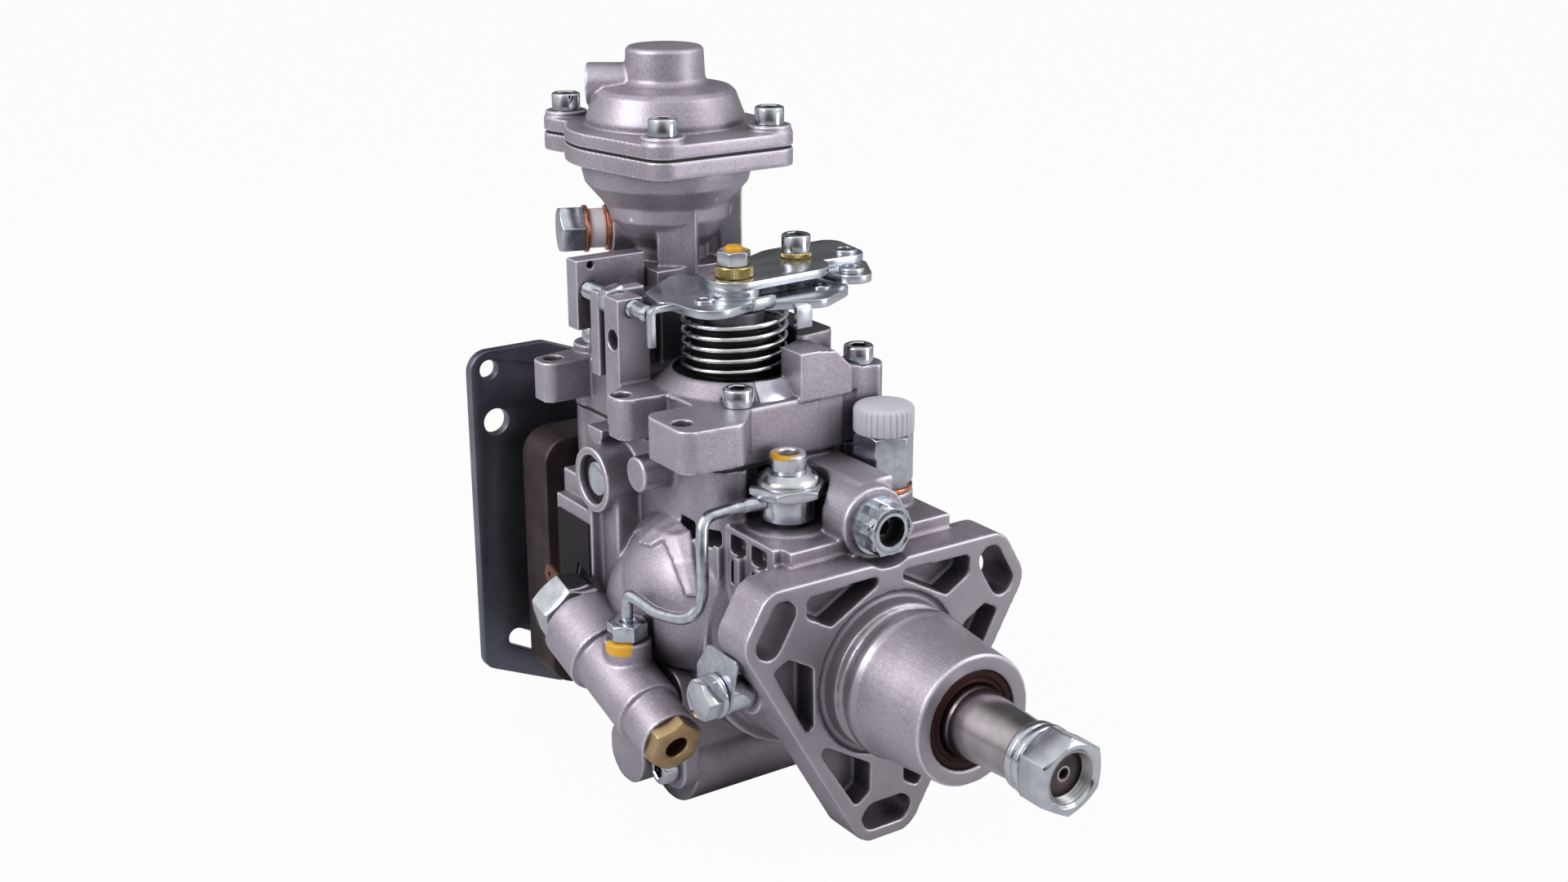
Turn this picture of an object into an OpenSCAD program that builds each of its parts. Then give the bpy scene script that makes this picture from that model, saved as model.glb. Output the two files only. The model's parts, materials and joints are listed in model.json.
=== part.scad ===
// Distributor injection pump. Millimetres, drive shaft along -Y, origin on its axis in the flange face, +Z up.

/* [Flange] */
// Thickness of the mounting flange
flange_t = 16; // [12:0.5:18]
// Radius of the circle through the three mounting slots
slot_circle_r = 50.2; // [48:0.1:52]
// Width of a mounting slot
slot_w = 9.5; // [8:0.1:10.5]
// Distance between the centres of a slot's two round ends
slot_travel = 10; // [4:0.5:11]
// Radius of the rounding at each end of a flange lobe
lobe_r = 9; // [8:0.1:10]
// Distance between the two roundings of a lobe
lobe_w = 9.6; // [7:0.1:11]
// Depth of the cast pockets in the flange face
pocket_depth = 9; // [5:0.5:11]
// Half width of the web between the two pockets of a lobe
web_half = 7; // [6:0.1:8]

/* [Nose] */
// Radius of the centring pilot behind the flange face
pilot_r = 25; // [24:0.1:26]
// Length of the machined pilot
pilot_len = 13; // [10:0.5:16]
// Distance from the flange face to the end of the nose
nose_len = 41.8; // [38:0.1:46]
// Radius of the nose at its end
nose_r = 21.5; // [20.5:0.1:22.5]
// Radius of the seal ring in the nose
seal_r = 16.2; // [15:0.1:17]
// Width of the seal ring
seal_w = 7; // [5:0.5:9]
// Outer radius of the front bearing bush
bush_r = 15; // [14:0.1:15.5]

/* [Drive shaft] */
// Radius of the bearing journal
journal_r = 11.5; // [11.3:0.1:12.5]
// Radius of the taper at its small end
taper_end_r = 9.6; // [9:0.1:10]
// Radius of the thread for the nut
thread_r = 7; // [6:0.1:8]
// Distance that the journal stands out of the nose
journal_out = 1.4; // [1:0.1:4]
// Length of the taper
taper_len = 24.5; // [18:0.5:26]
// Thickness of the two-ring lock washer
lock_washer_t = 7; // [5:0.1:8]
// Length of the shaft nut
nut_len = 11.5; // [9:0.5:14]
// Width across flats of the shaft nut
nut_af = 22; // [19:0.1:24]

/* [Housing] */
// Height of the governor cover's seat above the drive shaft
seat_z = 61.2; // [58:0.1:64]
// Height of the front deck above the drive shaft
deck_z = 43.5; // [42:0.1:46]
// Outer radius of the round housing body
body_r = 42; // [40:0.5:44]
// Bore of the chamber round the drive gear
chamber_r = 34; // [33:0.1:35]
// Bore of the chamber round the cam
cam_bore_r = 28; // [27.5:0.1:28.2]
// Distance from the flange face to the distributor head's seat
housing_len = 140; // [136:0.5:144]
// Distance from the drive shaft down to the timing piston
timing_drop = 47; // [44:0.5:49]
// Distance from the flange face to the timing piston
timing_y = 70; // [66:0.5:74]
// Length of the timing device's bore
timing_len = 80; // [76:0.5:84]
// Outer radius round the timing piston's bore
timing_case_r = 17; // [16:0.1:18]
// Bore of the timing piston
timing_bore_r = 12; // [11:0.1:13]
// Distance from the drive shaft to the face of the name plate pad
pad_x = 50; // [48:0.1:52]

/* [Supply pump] */
// Outer radius of the supply pump's liner
liner_r = 29.95; // [28:0.05:30]
// Distance from the flange face to the supply pump
supply_y = 22; // [20:0.5:24]
// Width of the supply pump's rotor
rotor_w = 14; // [12:0.5:16]
// Radius of the rotor
rotor_r = 18.5; // [17:0.1:19]
// Offset of the liner's bore from the shaft
liner_offset = 1.5; // [1:0.1:2]
// Number of vanes
vane_count = 4; // [3:1:5]
// Thickness of the supply pump's cover plate
plate_t = 4; // [3:0.5:5]

/* [Governor] */
// Distance between the drive shaft and the governor shaft
governor_z = 48; // [48:1:48]
// Module of the two governor gears
gear_m = 2; // [2:1:2]
// Teeth on the drive gear
drive_teeth = 30; // [30:1:30]
// Face width of the gears
gear_w = 6.5; // [5:0.5:7]
// Distance from the flange face to the gears
gear_y = 50.5; // [50:0.25:51]
// Radius of the governor shaft
governor_shaft_r = 5; // [4.5:0.1:5.5]
// Length of the flyweight carrier behind its gear
carrier_len = 20; // [19:0.5:21]
// Distance from the flange face to the governor lever
lever_y = 101; // [100.5:0.5:102]

/* [Cam and plunger] */
// Distance from the flange face to the roller ring
ring_y = 65; // [64.5:0.25:65.5]
// Width of the roller ring
ring_w = 12; // [11:0.5:13]
// Radius of a cam roller
roller_r = 5; // [4.5:0.1:5.3]
// Radius of the circle of the rollers
roller_circle_r = 21.5; // [21:0.1:22]
// Rise of the cam lobes
cam_rise = 2.2; // [1.8:0.1:2.4]
// Thickness of the cam plate
cam_plate_t = 7; // [6:0.5:8]
// Radius of the cam plate
cam_plate_r = 26; // [25:0.1:27]
// Radius of the distributor plunger
plunger_r = 6; // [5:0.1:6.5]
// Number of engine cylinders, so of outlets and cam lobes
outlets = 4; // [4:1:4]

/* [Distributor head] */
// Radius of the distributor head
head_r = 39; // [37:0.5:40]
// Width and height of the head's square block
head_block_w = 96; // [94:1:97]
// Thickness of the distributor head's rear part
head_t = 18; // [16:0.5:20]
// Radius of the head's barrel in the housing
barrel_r = 29.95; // [29:0.05:30]
// Radius of the circle of the outlets
outlet_circle_r = 21; // [20:0.1:22]
// Width across flats of an outlet holder
holder_af = 17; // [15:0.5:18]
// Length of an outlet holder
holder_len = 24; // [20:0.5:28]
// Radius of the outlet thread
outlet_thread_r = 6; // [5.5:0.1:6.5]

/* [Cold-start device] */
// Distance from the drive shaft to the cold-start device's axis
cold_x = 59; // [58:0.1:60]
// Radius of its rear part
cold_big_r = 13.5; // [13:0.1:15]
// Radius of its front part
cold_small_r = 10; // [9.5:0.1:10.5]
// Slope of its axis in degrees, down towards the front
cold_slope = 18; // [16:0.5:20]
// Bore of the brass plug
brass_bore_r = 3.8; // [3:0.1:4.2]
// Outer radius of the steel pipe
pipe_r = 2; // [1.75:0.05:2.25]

/* [Deck fittings] */
// Distance of the pressure valve from the centre plane
valve_x = 16; // [15:0.1:17]
// Distance of the inlet union from the centre plane
inlet_x = 22; // [21:0.1:23]
// Distance from the flange face to the pressure valve and the inlet
fittings_y = 34; // [33:0.1:35]
// Width across flats of the inlet union
inlet_af = 18; // [17:0.1:19]
// Height of the inlet union above its seat
inlet_h = 23; // [20:0.5:26]
// Radius of the knurled cap
cap_r = 10.4; // [10:0.1:11]

/* [Governor cover] */
// Height of the cover's screw floor above its joint
cover_h = 19; // [17:0.5:21]
// Wall of the cover
cover_wall = 4; // [3.5:0.5:5]
// Thickness of the cover's gasket
gasket_t = 0.8; // [0.5:0.1:1]
// Height of a lug on the cover's left side
lug_h = 14; // [12:0.5:15]
// Radius of the hole in a lug
lug_hole_r = 3.4; // [2.5:0.1:3.8]
// Radius of the cover's screws
screw_r = 3; // [2.5:0.1:3]

/* [Boost compensator] */
// Distance from the flange face to the compensator's axis
boost_y = 132; // [131:0.5:133]
// Radius of the round body
boost_r = 35.2; // [34:0.1:36]
// Height of the joint of its two halves above the drive shaft
boost_joint_z = 152; // [150:0.5:154]
// Thickness of each half's rim
rim_t = 6; // [5:0.5:7]
// Half distance between its screws across the pump
boost_screw_x = 21; // [20:0.5:22]
// Half distance between its screws along the pump
boost_screw_y = 33; // [32:0.5:34]
// Radius of the boss on top
boss_r = 13.9; // [13:0.1:15]
// Height of the top of the boss above the joint
boost_top = 32; // [30:0.5:34]
// Travel of the compensator's pin
boost_travel = 5; // [3:0.5:6]

/* [Control lever] */
// Distance of the lever's shaft from the centre plane
lever_x = 10; // [9:0.5:11]
// Distance from the flange face to the lever's shaft
lever_shaft_y = 74; // [73:0.5:75]
// Radius of the lever's shaft
lever_shaft_r = 5; // [4.5:0.1:5.5]
// Height of the lower plate's underside above the drive shaft
lower_plate_z = 107; // [106:0.5:107.5]
// Thickness of the lever plates
lever_t = 3; // [2.5:0.1:3.2]
// Outer radius of the return spring
spring_r = 18; // [17:0.1:18.5]
// Radius of the return spring's wire
spring_wire_r = 0.8; // [0.7:0.05:1]
// Turns of the return spring
spring_turns = 5.5; // [4:0.5:6]

/* [Rear bracket] */
// Thickness of the bracket's plate
bracket_t = 4; // [3:0.5:5]
// Radius of the small hole
bracket_hole_r = 3.5; // [3:0.1:4]
// Radius of the large hole
bracket_big_hole_r = 4.8; // [4:0.1:5.5]
// Width of the slot at the bottom
bracket_slot_w = 7; // [6:0.5:8]

/* [Fits] */
// Running clearance of shafts and pistons, on the radius
run_gap = 0.03; // [0.02:0.01:0.06]
// Clearance between pieces that move past each other
free_gap = 0.3; // [0.25:0.05:0.4]

/* [Hidden] */
$fn = 48;

// Levels of the cover and the compensator
joint_z = seat_z + gasket_t;
floor_z = joint_z + cover_h;
high_floor_z = floor_z + 6;
rim_low_z = boost_joint_z - rim_t;
rim_top_z = boost_joint_z + rim_t - 0.5;
boost_top_z = boost_joint_z + boost_top;

// Stations along the shaft
nose_y = -nose_len;
taper_y = nose_y - journal_out;
washer_y = taper_y - taper_len;
nut_y = washer_y - lock_washer_t;
shaft_end_y = nut_y - nut_len + 4;
plate_y = supply_y + rotor_w + 0.1;
plate_end_y = plate_y + plate_t;
gear_end_y = gear_y + gear_w;
disc_y = gear_end_y + 3;
governor_teeth = 2*governor_z/gear_m - drive_teeth;
ring_end_y = ring_y + ring_w;
cam_y = ring_end_y + roller_r + 0.05;
plunger_y = cam_y + cam_rise + cam_plate_t;
head_front_y = housing_len - 20;
head_rear_y = housing_len + head_t;
plunger_end_y = head_rear_y - 8;
spool_y = lever_y + 4.5;
lever_pivot_z = 24;
ball_z = 11.5;

// Screw sizes
head_h = 2*screw_r;
screw_head_r = 5*screw_r/3;

// Cover screws: x, y and height of the seat
cover_screws = [[-25, 49, floor_z], [24, 51, high_floor_z], [-30, 132, high_floor_z - 3],
    [24, 132, high_floor_z - 3]];
boost_screws = [for (a = [-1, 1]) for (b = [-1, 1]) [a*boost_screw_x, boost_y + b*boost_screw_y, rim_top_z]];

// Shapes along the axes
module rod_y(x, z, y0, y1, r) { translate([x, y0, z]) rotate([-90, 0, 0]) cylinder(h = y1 - y0, r = r); }
module rod_x(y, z, x0, x1, r) { translate([x0, y, z]) rotate([0, 90, 0]) cylinder(h = x1 - x0, r = r); }
module rod_z(x, y, z0, z1, r) { translate([x, y, z0]) cylinder(h = z1 - z0, r = r); }
module block(x0, x1, y0, y1, z0, z1) { translate([x0, y0, z0]) cube([x1 - x0, y1 - y0, z1 - z0]); }
module turned_y(points) { rotate([-90, 0, 0]) rotate_extrude() polygon(points); }
module turned_z(points) { rotate_extrude() polygon(points); }
module slab_y(y0, y1) { translate([0, y1, 0]) rotate([90, 0, 0]) linear_extrude(y1 - y0) children(); }
module slab_x(x0, x1) { translate([x0, 0, 0]) rotate([90, 0, 90]) linear_extrude(x1 - x0) children(); }
module slab_z(z0, z1) { translate([0, 0, z0]) linear_extrude(z1 - z0) children(); }
module hexagon(af, h) { cylinder(h = h, r = af/2/cos(30), $fn = 6); }

// Outline round discs, given counter-clockwise, each as [x, y, radius]
cross_in = 0.02;
function unit(v) = v/norm(v);
function tangent_normal(a, b) =
    let (u = unit([b[0] - a[0], b[1] - a[1]]), d = norm([b[0] - a[0], b[1] - a[1]]), s = (a[2] - b[2])/d)
    u*s + [u[1], -u[0]]*sqrt(1 - s*s);
function tangent_points(c) = [for (i = [0:len(c) - 1])
    let (a = c[i], b = c[(i + 1) % len(c)], n = tangent_normal(a, b))
    each [[a[0], a[1]] + (a[2] - cross_in)*n, [b[0], b[1]] + (b[2] - cross_in)*n]];
module outline(c) {
    polygon(tangent_points(c));
    for (p = c) translate([p[0], p[1]]) circle(p[2]);
}
function shrunk(c, by) = [for (p = c) [p[0], p[1], p[2] - by]];

// Wire wound along +Z from z = 0, closed at both ends
module coil(r, wire_r, turns, h, steps, sides) {
    n = turns*steps;
    points = [for (i = [0:n]) for (k = [0:sides - 1])
        let (a = 360*i/steps, q = 360*k/sides, rr = r + wire_r*cos(q))
        [rr*cos(a), rr*sin(a), h*i/n + wire_r*sin(q)]];
    faces = concat(
        [for (i = [0:n - 1]) for (k = [0:sides - 1])
            [i*sides + k, i*sides + (k + 1) % sides, (i + 1)*sides + (k + 1) % sides, (i + 1)*sides + k]],
        [[for (k = [0:sides - 1]) sides - 1 - k]],
        [[for (k = [0:sides - 1]) n*sides + k]]);
    polyhedron(points, faces, convexity = 10);
}

// Socket head screw pointing down, with its head standing on z = 0
module socket_screw(r, l) {
    difference() {
        union() {
            cylinder(h = 2*r, r = 5*r/3);
            translate([0, 0, -l]) cylinder(h = l, r = r);
        }
        translate([0, 0, r]) hexagon(5*r/3, r + 1);
    }
}

// Gear of trapezoid teeth along Y, with a tooth or a gap at the top
module gear_2d(teeth, tooth_on_top) {
    pitch_r = gear_m*teeth/2;
    step = 360/teeth;
    start = tooth_on_top ? 0 : step/2;
    back = 0.13*gear_m;
    function at(r, half, i, side) =
        let (a = 90 + start + i*step + side*half/r*180/PI) [r*cos(a), r*sin(a)];
    root = pitch_r - 1.3*gear_m;
    tip = pitch_r + 0.9*gear_m;
    half_root = 1.17*gear_m - back;
    half_pitch = PI*gear_m/4 - back;
    half_tip = 0.38*gear_m - back/2;
    polygon([for (i = [0:teeth - 1]) each [at(root, half_root, i, -1), at(pitch_r, half_pitch, i, -1),
        at(tip, half_tip, i, -1), at(tip, half_tip, i, 1), at(pitch_r, half_pitch, i, 1),
        at(root, half_root, i, 1)]]);
}

// Flange outline, slots and pockets, drawn looking along +Y as x and z
lobes = [-90, 30, 150];
function lobe_at(a, radial, across) = [radial*cos(a) - across*sin(a), radial*sin(a) + across*cos(a)];
function disc_at(a, radial, across, r) = let (p = lobe_at(a, radial, across)) [p[0], p[1], r];
module flange_outline() {
    outline([for (a = lobes) each [disc_at(a, slot_circle_r, -lobe_w/2, lobe_r),
        disc_at(a, slot_circle_r, lobe_w/2, lobe_r)]]);
}
module slots() {
    for (a = lobes)
        outline([disc_at(a, slot_circle_r, -slot_travel/2, slot_w/2),
            disc_at(a, slot_circle_r, slot_travel/2, slot_w/2)]);
}
pocket_r = 1.8;
module pockets() {
    near = pilot_r + 6.4;
    far = slot_circle_r - slot_w/2 - 3.6;
    for (a = lobes) {
        outline([disc_at(a, near - 9.5, 24.5, pocket_r), disc_at(a, near, web_half + pocket_r, pocket_r),
            disc_at(a, far - 2, web_half + pocket_r, pocket_r), disc_at(a, far, web_half + 5, pocket_r)]);
        outline([disc_at(a, far, -web_half - 5, pocket_r), disc_at(a, far - 2, -web_half - pocket_r, pocket_r),
            disc_at(a, near, -web_half - pocket_r, pocket_r), disc_at(a, near - 9.5, -24.5, pocket_r)]);
    }
}

// Cover's outline at its joint, seen from above
cover_discs = [[-29, 51, 8], [4, 51, 8], [24, 62, 8], [24, 131, 8], [-29, 131, 8]];
nut_boss_r = 12;
boss_face_y = 9;
valve_seat_r = 11;
cold_y = 74;
cold_z = -11.3;

// Wall on the left of the deck, and the pockets that leave a lattice of ribs in it
module side_wall() {
    difference() {
        block(-33, -20, 17, 72, 15, deck_z);
        rod_z(-valve_x, fittings_y, 10, 60, valve_seat_r + 1);
    }
}
module side_pockets() {
    for (i = [0:3]) block(-40, -28, 21 + 12*i, 30 + 12*i, 35, 41);
    for (i = [0:1]) block(-40, -28, 21 + 12*i, 30 + 12*i, 24, 32);
}

module pump_housing() {
    color("#b3adb4") difference() {
        union() {
            turned_y([[0, nose_y], [nose_r, nose_y], [nose_r + 2.7, -pilot_len - 1], [pilot_r, -pilot_len],
                [pilot_r, 1], [0, 1]]);
            slab_y(0, flange_t) flange_outline();
            rod_y(0, 0, flange_t - 1, 50, 37);
            rod_y(0, 0, 44, housing_len, body_r);
            block(-30, 33, boss_face_y + 3, 62, 0, deck_z);
            rod_y(0, governor_z, boss_face_y, 46, nut_boss_r);
            slab_z(20, seat_z) outline(cover_discs);
            side_wall();
            for (s = cover_screws) rod_z(s[0], s[1], 42, seat_z, 7.5);
            rod_x(lever_y - 1.5, lever_pivot_z, -29, 29, 6);
            block(-pad_x + 4, 0, 92, 130, -8, 41);
            block(-pad_x, 0, 103, 128, -7, 33);
            rod_x(102.5, 45, -pad_x, 0, 11.5);
            rod_x(108, 60, -pad_x + 5, 0, 5);
            rod_x(74, 55, -pad_x + 1, 0, 6);
            translate([-19, timing_y + 1, 9]) sphere(34);
            rod_x(timing_y, -timing_drop, -timing_len/2, timing_len/2, timing_case_r);
            block(-timing_len/2, timing_len/2, timing_y - 15, timing_y + 18, -timing_drop, -20);
            rod_x(17, 0, -44, 0, 9);
            rod_z(-valve_x, fittings_y, 20, deck_z + 1, valve_seat_r + 3);
            rod_z(inlet_x, fittings_y, 10, deck_z + 5, 10);
        }
        translate([0, 1, 0]) turned_y([[pilot_r, -2.2], [pilot_r + 2.7, -2.2], [pilot_r + 2.7, 0.2], [pilot_r, 0.2]]);
        turned_y([[pilot_r - 2, -9.5], [pilot_r + 5, -9.5], [pilot_r + 5, -5], [pilot_r - 2, -5]]);
        slab_y(-1, flange_t + 1) slots();
        slab_y(-1, pocket_depth) pockets();
        rod_y(0, governor_z, -1, boss_face_y, nut_boss_r);
        rod_y(0, 0, nose_y - 1, nose_y + seal_w, seal_r);
        rod_y(0, 0, nose_y + seal_w - 1, -4, bush_r);
        rod_y(0, 0, -5, supply_y, journal_r + 1.5);
        rod_y(0, 0, supply_y, 47, liner_r + 0.05);
        rod_y(0, 0, 46, gear_end_y + 2, chamber_r);
        rod_y(0, 0, 46, head_front_y + 2, cam_bore_r);
        block(-60, 60, 20, housing_len + 1, seat_z, seat_z + 20);
        rod_y(0, 0, head_front_y, housing_len + 1, barrel_r + 0.05);
        intersection() {
            block(-24, 24, 46, 124, 0, seat_z + 1);
            slab_z(-1, seat_z + 2) outline(shrunk(cover_discs, cover_wall));
        }
        rod_y(0, governor_z, gear_y - 0.6, lever_y, carrier_r + 0.8);
        rod_y(0, governor_z, -1, 47, governor_shaft_r);
        rod_x(timing_y, -timing_drop, -timing_len/2 - 1, timing_len/2 + 1, timing_bore_r);
        block(-15, 8, timing_y - 6, timing_y + 6, -timing_drop, -20);
        rod_x(17, 0, -50, 0, 4);
        rod_x(17, 0, -70, -44.05, 8.4);
        rod_x(lever_y - 1.5, lever_pivot_z, -27, 27, 2.5 + run_gap);
        rod_x(102.5, 45, -pad_x - 1, -pad_x + 7, 8.6);
        rod_z(-valve_x, fittings_y, 31, deck_z + 2, 4.5);
        rod_z(-valve_x, fittings_y, valve_base, 80, 13.2);
        rod_z(inlet_x, fittings_y, inlet_z, 80, 11.4);
        rod_z(inlet_x, fittings_y, 31, deck_z + 6, 5);
        for (s = cover_screws) rod_z(s[0], s[1], seat_z - 14, seat_z + 1, screw_r);
        side_pockets();
        cold_frame() translate([0, 0, -40]) cylinder(h = 44, r = cold_small_r + 2);
        block(-46.2, -timing_len/2 - 0.001, timing_y - 22, timing_y + 30, -60, -9);
        cold_frame() translate([0, 0, 3]) cylinder(h = 40, r = cold_big_r + 0.5);
        rod_z(-cold_x + 1, 66, -14, 12, 8.5);
    }
}

module front_bush() {
    color("#a08d62") difference() {
        rod_y(0, 0, nose_y + seal_w, -4, bush_r);
        rod_y(0, 0, nose_y, 0, journal_r + run_gap);
    }
}

module shaft_seal() {
    color("#2b1d1a") difference() {
        rod_y(0, 0, nose_y + 0.6, nose_y + seal_w, seal_r);
        rod_y(0, 0, nose_y - 1, nose_y + seal_w + 1, journal_r + 0.1);
    }
}

claw_r = 15;
module drive_shaft() {
    color("#c9c6c8") difference() {
        union() {
            turned_y([[0, shaft_end_y], [thread_r - 1, shaft_end_y], [thread_r, shaft_end_y + 1],
                [thread_r, washer_y], [taper_end_r, washer_y], [journal_r - 0.3, taper_y], [journal_r, taper_y + 1],
                [journal_r, supply_y - 0.5], [10, supply_y - 0.5], [10, disc_y], [claw_r, disc_y], [claw_r, disc_y + 4], [0, disc_y + 4]]);
            intersection() {
                rod_y(0, 0, disc_y + 3, disc_y + 14, claw_r);
                block(-claw_r, claw_r, disc_y + 3, disc_y + 14, -4, 4);
            }
        }
        rod_y(0, 0, disc_y + 4.01, disc_y + 15, 8);
        block(7, 20, taper_y - 13, taper_y - 3, -2, 2);
        rod_y(0, 0, shaft_end_y - 1, shaft_end_y + 4, 1.8);
    }
}

module shaft_nut() {
    color("#d5d7da") {
        difference() {
            union() {
                rod_y(0, 0, nut_y - 3, nut_y, nut_af/2 + 0.4);
                intersection() {
                    translate([0, nut_y - nut_len, 0]) rotate([-90, 0, 0]) rotate([0, 0, 30]) hexagon(nut_af, nut_len);
                    turned_y([[0, nut_y - nut_len], [nut_af/2 - 1.4, nut_y - nut_len],
                        [nut_af/2 + 2, nut_y - nut_len + 2], [nut_af/2 + 2, nut_y], [0, nut_y]]);
                }
            }
            rod_y(0, 0, nut_y - nut_len - 1, nut_y + 1, thread_r);
            turned_y([[0, nut_y - nut_len - 1], [thread_r + 2, nut_y - nut_len - 1], [0, nut_y - nut_len + 8]]);
        }
        for (i = [0, 1]) difference() {
            rod_y(0, 0, nut_y + i*lock_washer_t/2 + 0.1, nut_y + (i + 1)*lock_washer_t/2, 11.2 - 0.7*i);
            rod_y(0, 0, nut_y - 1, washer_y + 1, thread_r);
        }
    }
}

module pump_liner() {
    color("#9c9da1") difference() {
        rod_y(0, 0, supply_y, supply_y + rotor_w, liner_r);
        rod_y(liner_offset, 0, supply_y - 1, supply_y + rotor_w + 1, rotor_r + liner_offset + 0.5);
    }
}

vane_t = 3;
vane_root = 11;
module pump_rotor() {
    color("#87888c") difference() {
        rod_y(0, 0, supply_y + 0.05, supply_y + rotor_w - 0.05, rotor_r);
        rod_y(0, 0, supply_y - 1, supply_y + rotor_w + 1, 10);
        for (i = [0:vane_count - 1]) rotate([0, 360*i/vane_count, 0])
            block(-vane_t/2 - run_gap, vane_t/2 + run_gap, supply_y - 1, supply_y + rotor_w + 1, vane_root, 30);
    }
}

module rotor_vanes() {
    color("#6f7075") for (i = [0:vane_count - 1]) rotate([0, 360*i/vane_count, 0])
        block(-vane_t/2, vane_t/2, supply_y + 0.1, supply_y + rotor_w - 0.1, vane_root, rotor_r + 0.2);
}

module pump_cover_plate() {
    color("#9c9da1") difference() {
        rod_y(0, 0, plate_y, plate_end_y, liner_r);
        rod_y(0, 0, plate_y - 1, plate_end_y + 1, 11);
        for (a = [45, 225]) rotate([0, a, 0]) rod_y(0, 25, plate_y - 1, plate_end_y + 1, 2.5);
    }
}

module drive_gear() {
    color("#77787c") difference() {
        slab_y(gear_y, gear_end_y) gear_2d(drive_teeth, true);
        rod_y(0, 0, gear_y - 1, gear_end_y + 1, 10);
        for (i = [0:5]) rotate([0, 60*i, 0]) rod_y(0, 19, gear_y - 1, gear_end_y + 1, 3);
    }
}

module coupling_disc() {
    color("#8b8c90") difference() {
        rod_y(0, 0, disc_y + 7, disc_y + 12, claw_r);
        rod_y(0, 0, disc_y + 6, disc_y + 13, 4.5);
        for (a = [0:90:270]) rotate([0, a, 0])
            block(6.8, 20, disc_y + 6, disc_y + 13, -4 - free_gap, 4 + free_gap);
    }
}

lock_nut_h = 9;
module governor_shaft() {
    color("#d3d5d8") {
        difference() {
            rod_y(0, governor_z, 5, lever_y - 9.5, governor_shaft_r);
            translate([0, 4, governor_z]) rotate([-90, 0, 0]) hexagon(5, 6);
        }
        difference() {
            union() {
                rod_y(0, governor_z, boss_face_y - 2.2, boss_face_y, 9.6);
                translate([0, boss_face_y - lock_nut_h, governor_z]) rotate([-90, 0, 0]) hexagon(15, lock_nut_h);
            }
            rod_y(0, governor_z, -2, boss_face_y + 1, governor_shaft_r);
        }
    }
}

carrier_r = 19.6;
pivot_ring_r = 15.5;
module governor_carrier() {
    pivot_y = gear_end_y + 4.5;
    color("#8b8c90") difference() {
        union() {
            slab_y(gear_y, gear_end_y) translate([0, governor_z]) gear_2d(governor_teeth, false);
            rod_y(0, governor_z, gear_end_y - 0.5, gear_end_y + 0.6, 15);
            rod_y(0, governor_z, gear_end_y + 0.3, gear_end_y + carrier_len, carrier_r);
        }
        rod_y(0, governor_z, gear_end_y + 1.5, gear_end_y + carrier_len + 1, carrier_r - 1.6);
        rod_y(0, governor_z, gear_y - 1, gear_end_y + 3, governor_shaft_r + run_gap);
        translate([0, 0, governor_z]) for (i = [0:3]) rotate([0, 90*i, 0])
            block(-6, 6, gear_end_y + 1.5, gear_end_y + carrier_len - 2.5, 12, 25);
    }
}

// Flyweight above the governor shaft, before it is turned to its place
module flyweight(i) {
    translate([0, 0, governor_z]) rotate([0, 90*i, 0]) color("#a4a5a9") {
        block(-5.4, 5.4, gear_end_y + 5.5, gear_end_y + 15, 9, 14.6);
        block(-3, 3, gear_end_y + 2.2, gear_end_y + 5.5, 6.6, 14.6);
        rod_x(gear_end_y + 4.3, 15.5, -5.7, 5.7, 1.4);
        block(-3, 3, gear_end_y + 2.9, gear_end_y + 5.7, 14, 15.5);
    }
}
module flyweight_1() { flyweight(0); }
module flyweight_2() { flyweight(1); }
module flyweight_3() { flyweight(2); }
module flyweight_4() { flyweight(3); }

sleeve_y = gear_end_y + 5.8;
module sliding_sleeve() {
    color("#9b9ca0") difference() {
        union() {
            rod_y(0, governor_z, sleeve_y, sleeve_y + 2, 8.4);
            rod_y(0, governor_z, sleeve_y, lever_y - 7, 7.5);
            rod_y(0, governor_z, lever_y - 8, lever_y - 3.4, 2);
        }
        rod_y(0, governor_z, sleeve_y - 1, lever_y - 8.5, governor_shaft_r + run_gap);
    }
}

module governor_lever() {
    color("#8f9094") {
        difference() {
            block(-11, 11, lever_y - 3, lever_y, ball_z + 5, 73);
            block(-7, 7, lever_y - 4, lever_y + 1, 32, 40);
            rod_x(lever_y - 1.5, lever_pivot_z, -12, 12, 2.5);
        }
        rod_x(lever_y - 1.5, lever_pivot_z, -26.5, 26.5, 2.5);
        block(-2, 2, lever_y - 3, spool_y + 2, ball_z + 2.6, ball_z + 5.2);
        rod_z(0, spool_y, ball_z - 3.4, ball_z + 4, 1.8);
    }
}

module roller_ring() {
    color("#85868a") {
        difference() {
            rod_y(0, 0, ring_y, ring_end_y, cam_bore_r - run_gap - 0.02);
            rod_y(0, 0, ring_y - 1, ring_end_y + 1, claw_r + 1.5);
            block(-40, 40, ring_y - 1, ring_end_y + 1, governor_z - carrier_r - 0.8, 40);
            for (i = [0:outlets - 1]) rotate([0, 45 + 90*i, 0])
                rod_z(0, ring_end_y, claw_r + 1, cam_bore_r - 0.8, roller_r + 0.15);
        }
        rod_z(0, timing_y, -timing_drop - 3, -cam_bore_r + 1.5, 3.2);
    }
}

module cam_rollers() {
    color("#cfd0d3") for (i = [0:outlets - 1]) rotate([0, 45 + 90*i, 0])
        rod_z(0, ring_end_y, roller_circle_r - 4.5, roller_circle_r + 4.5, roller_r);
}

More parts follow.
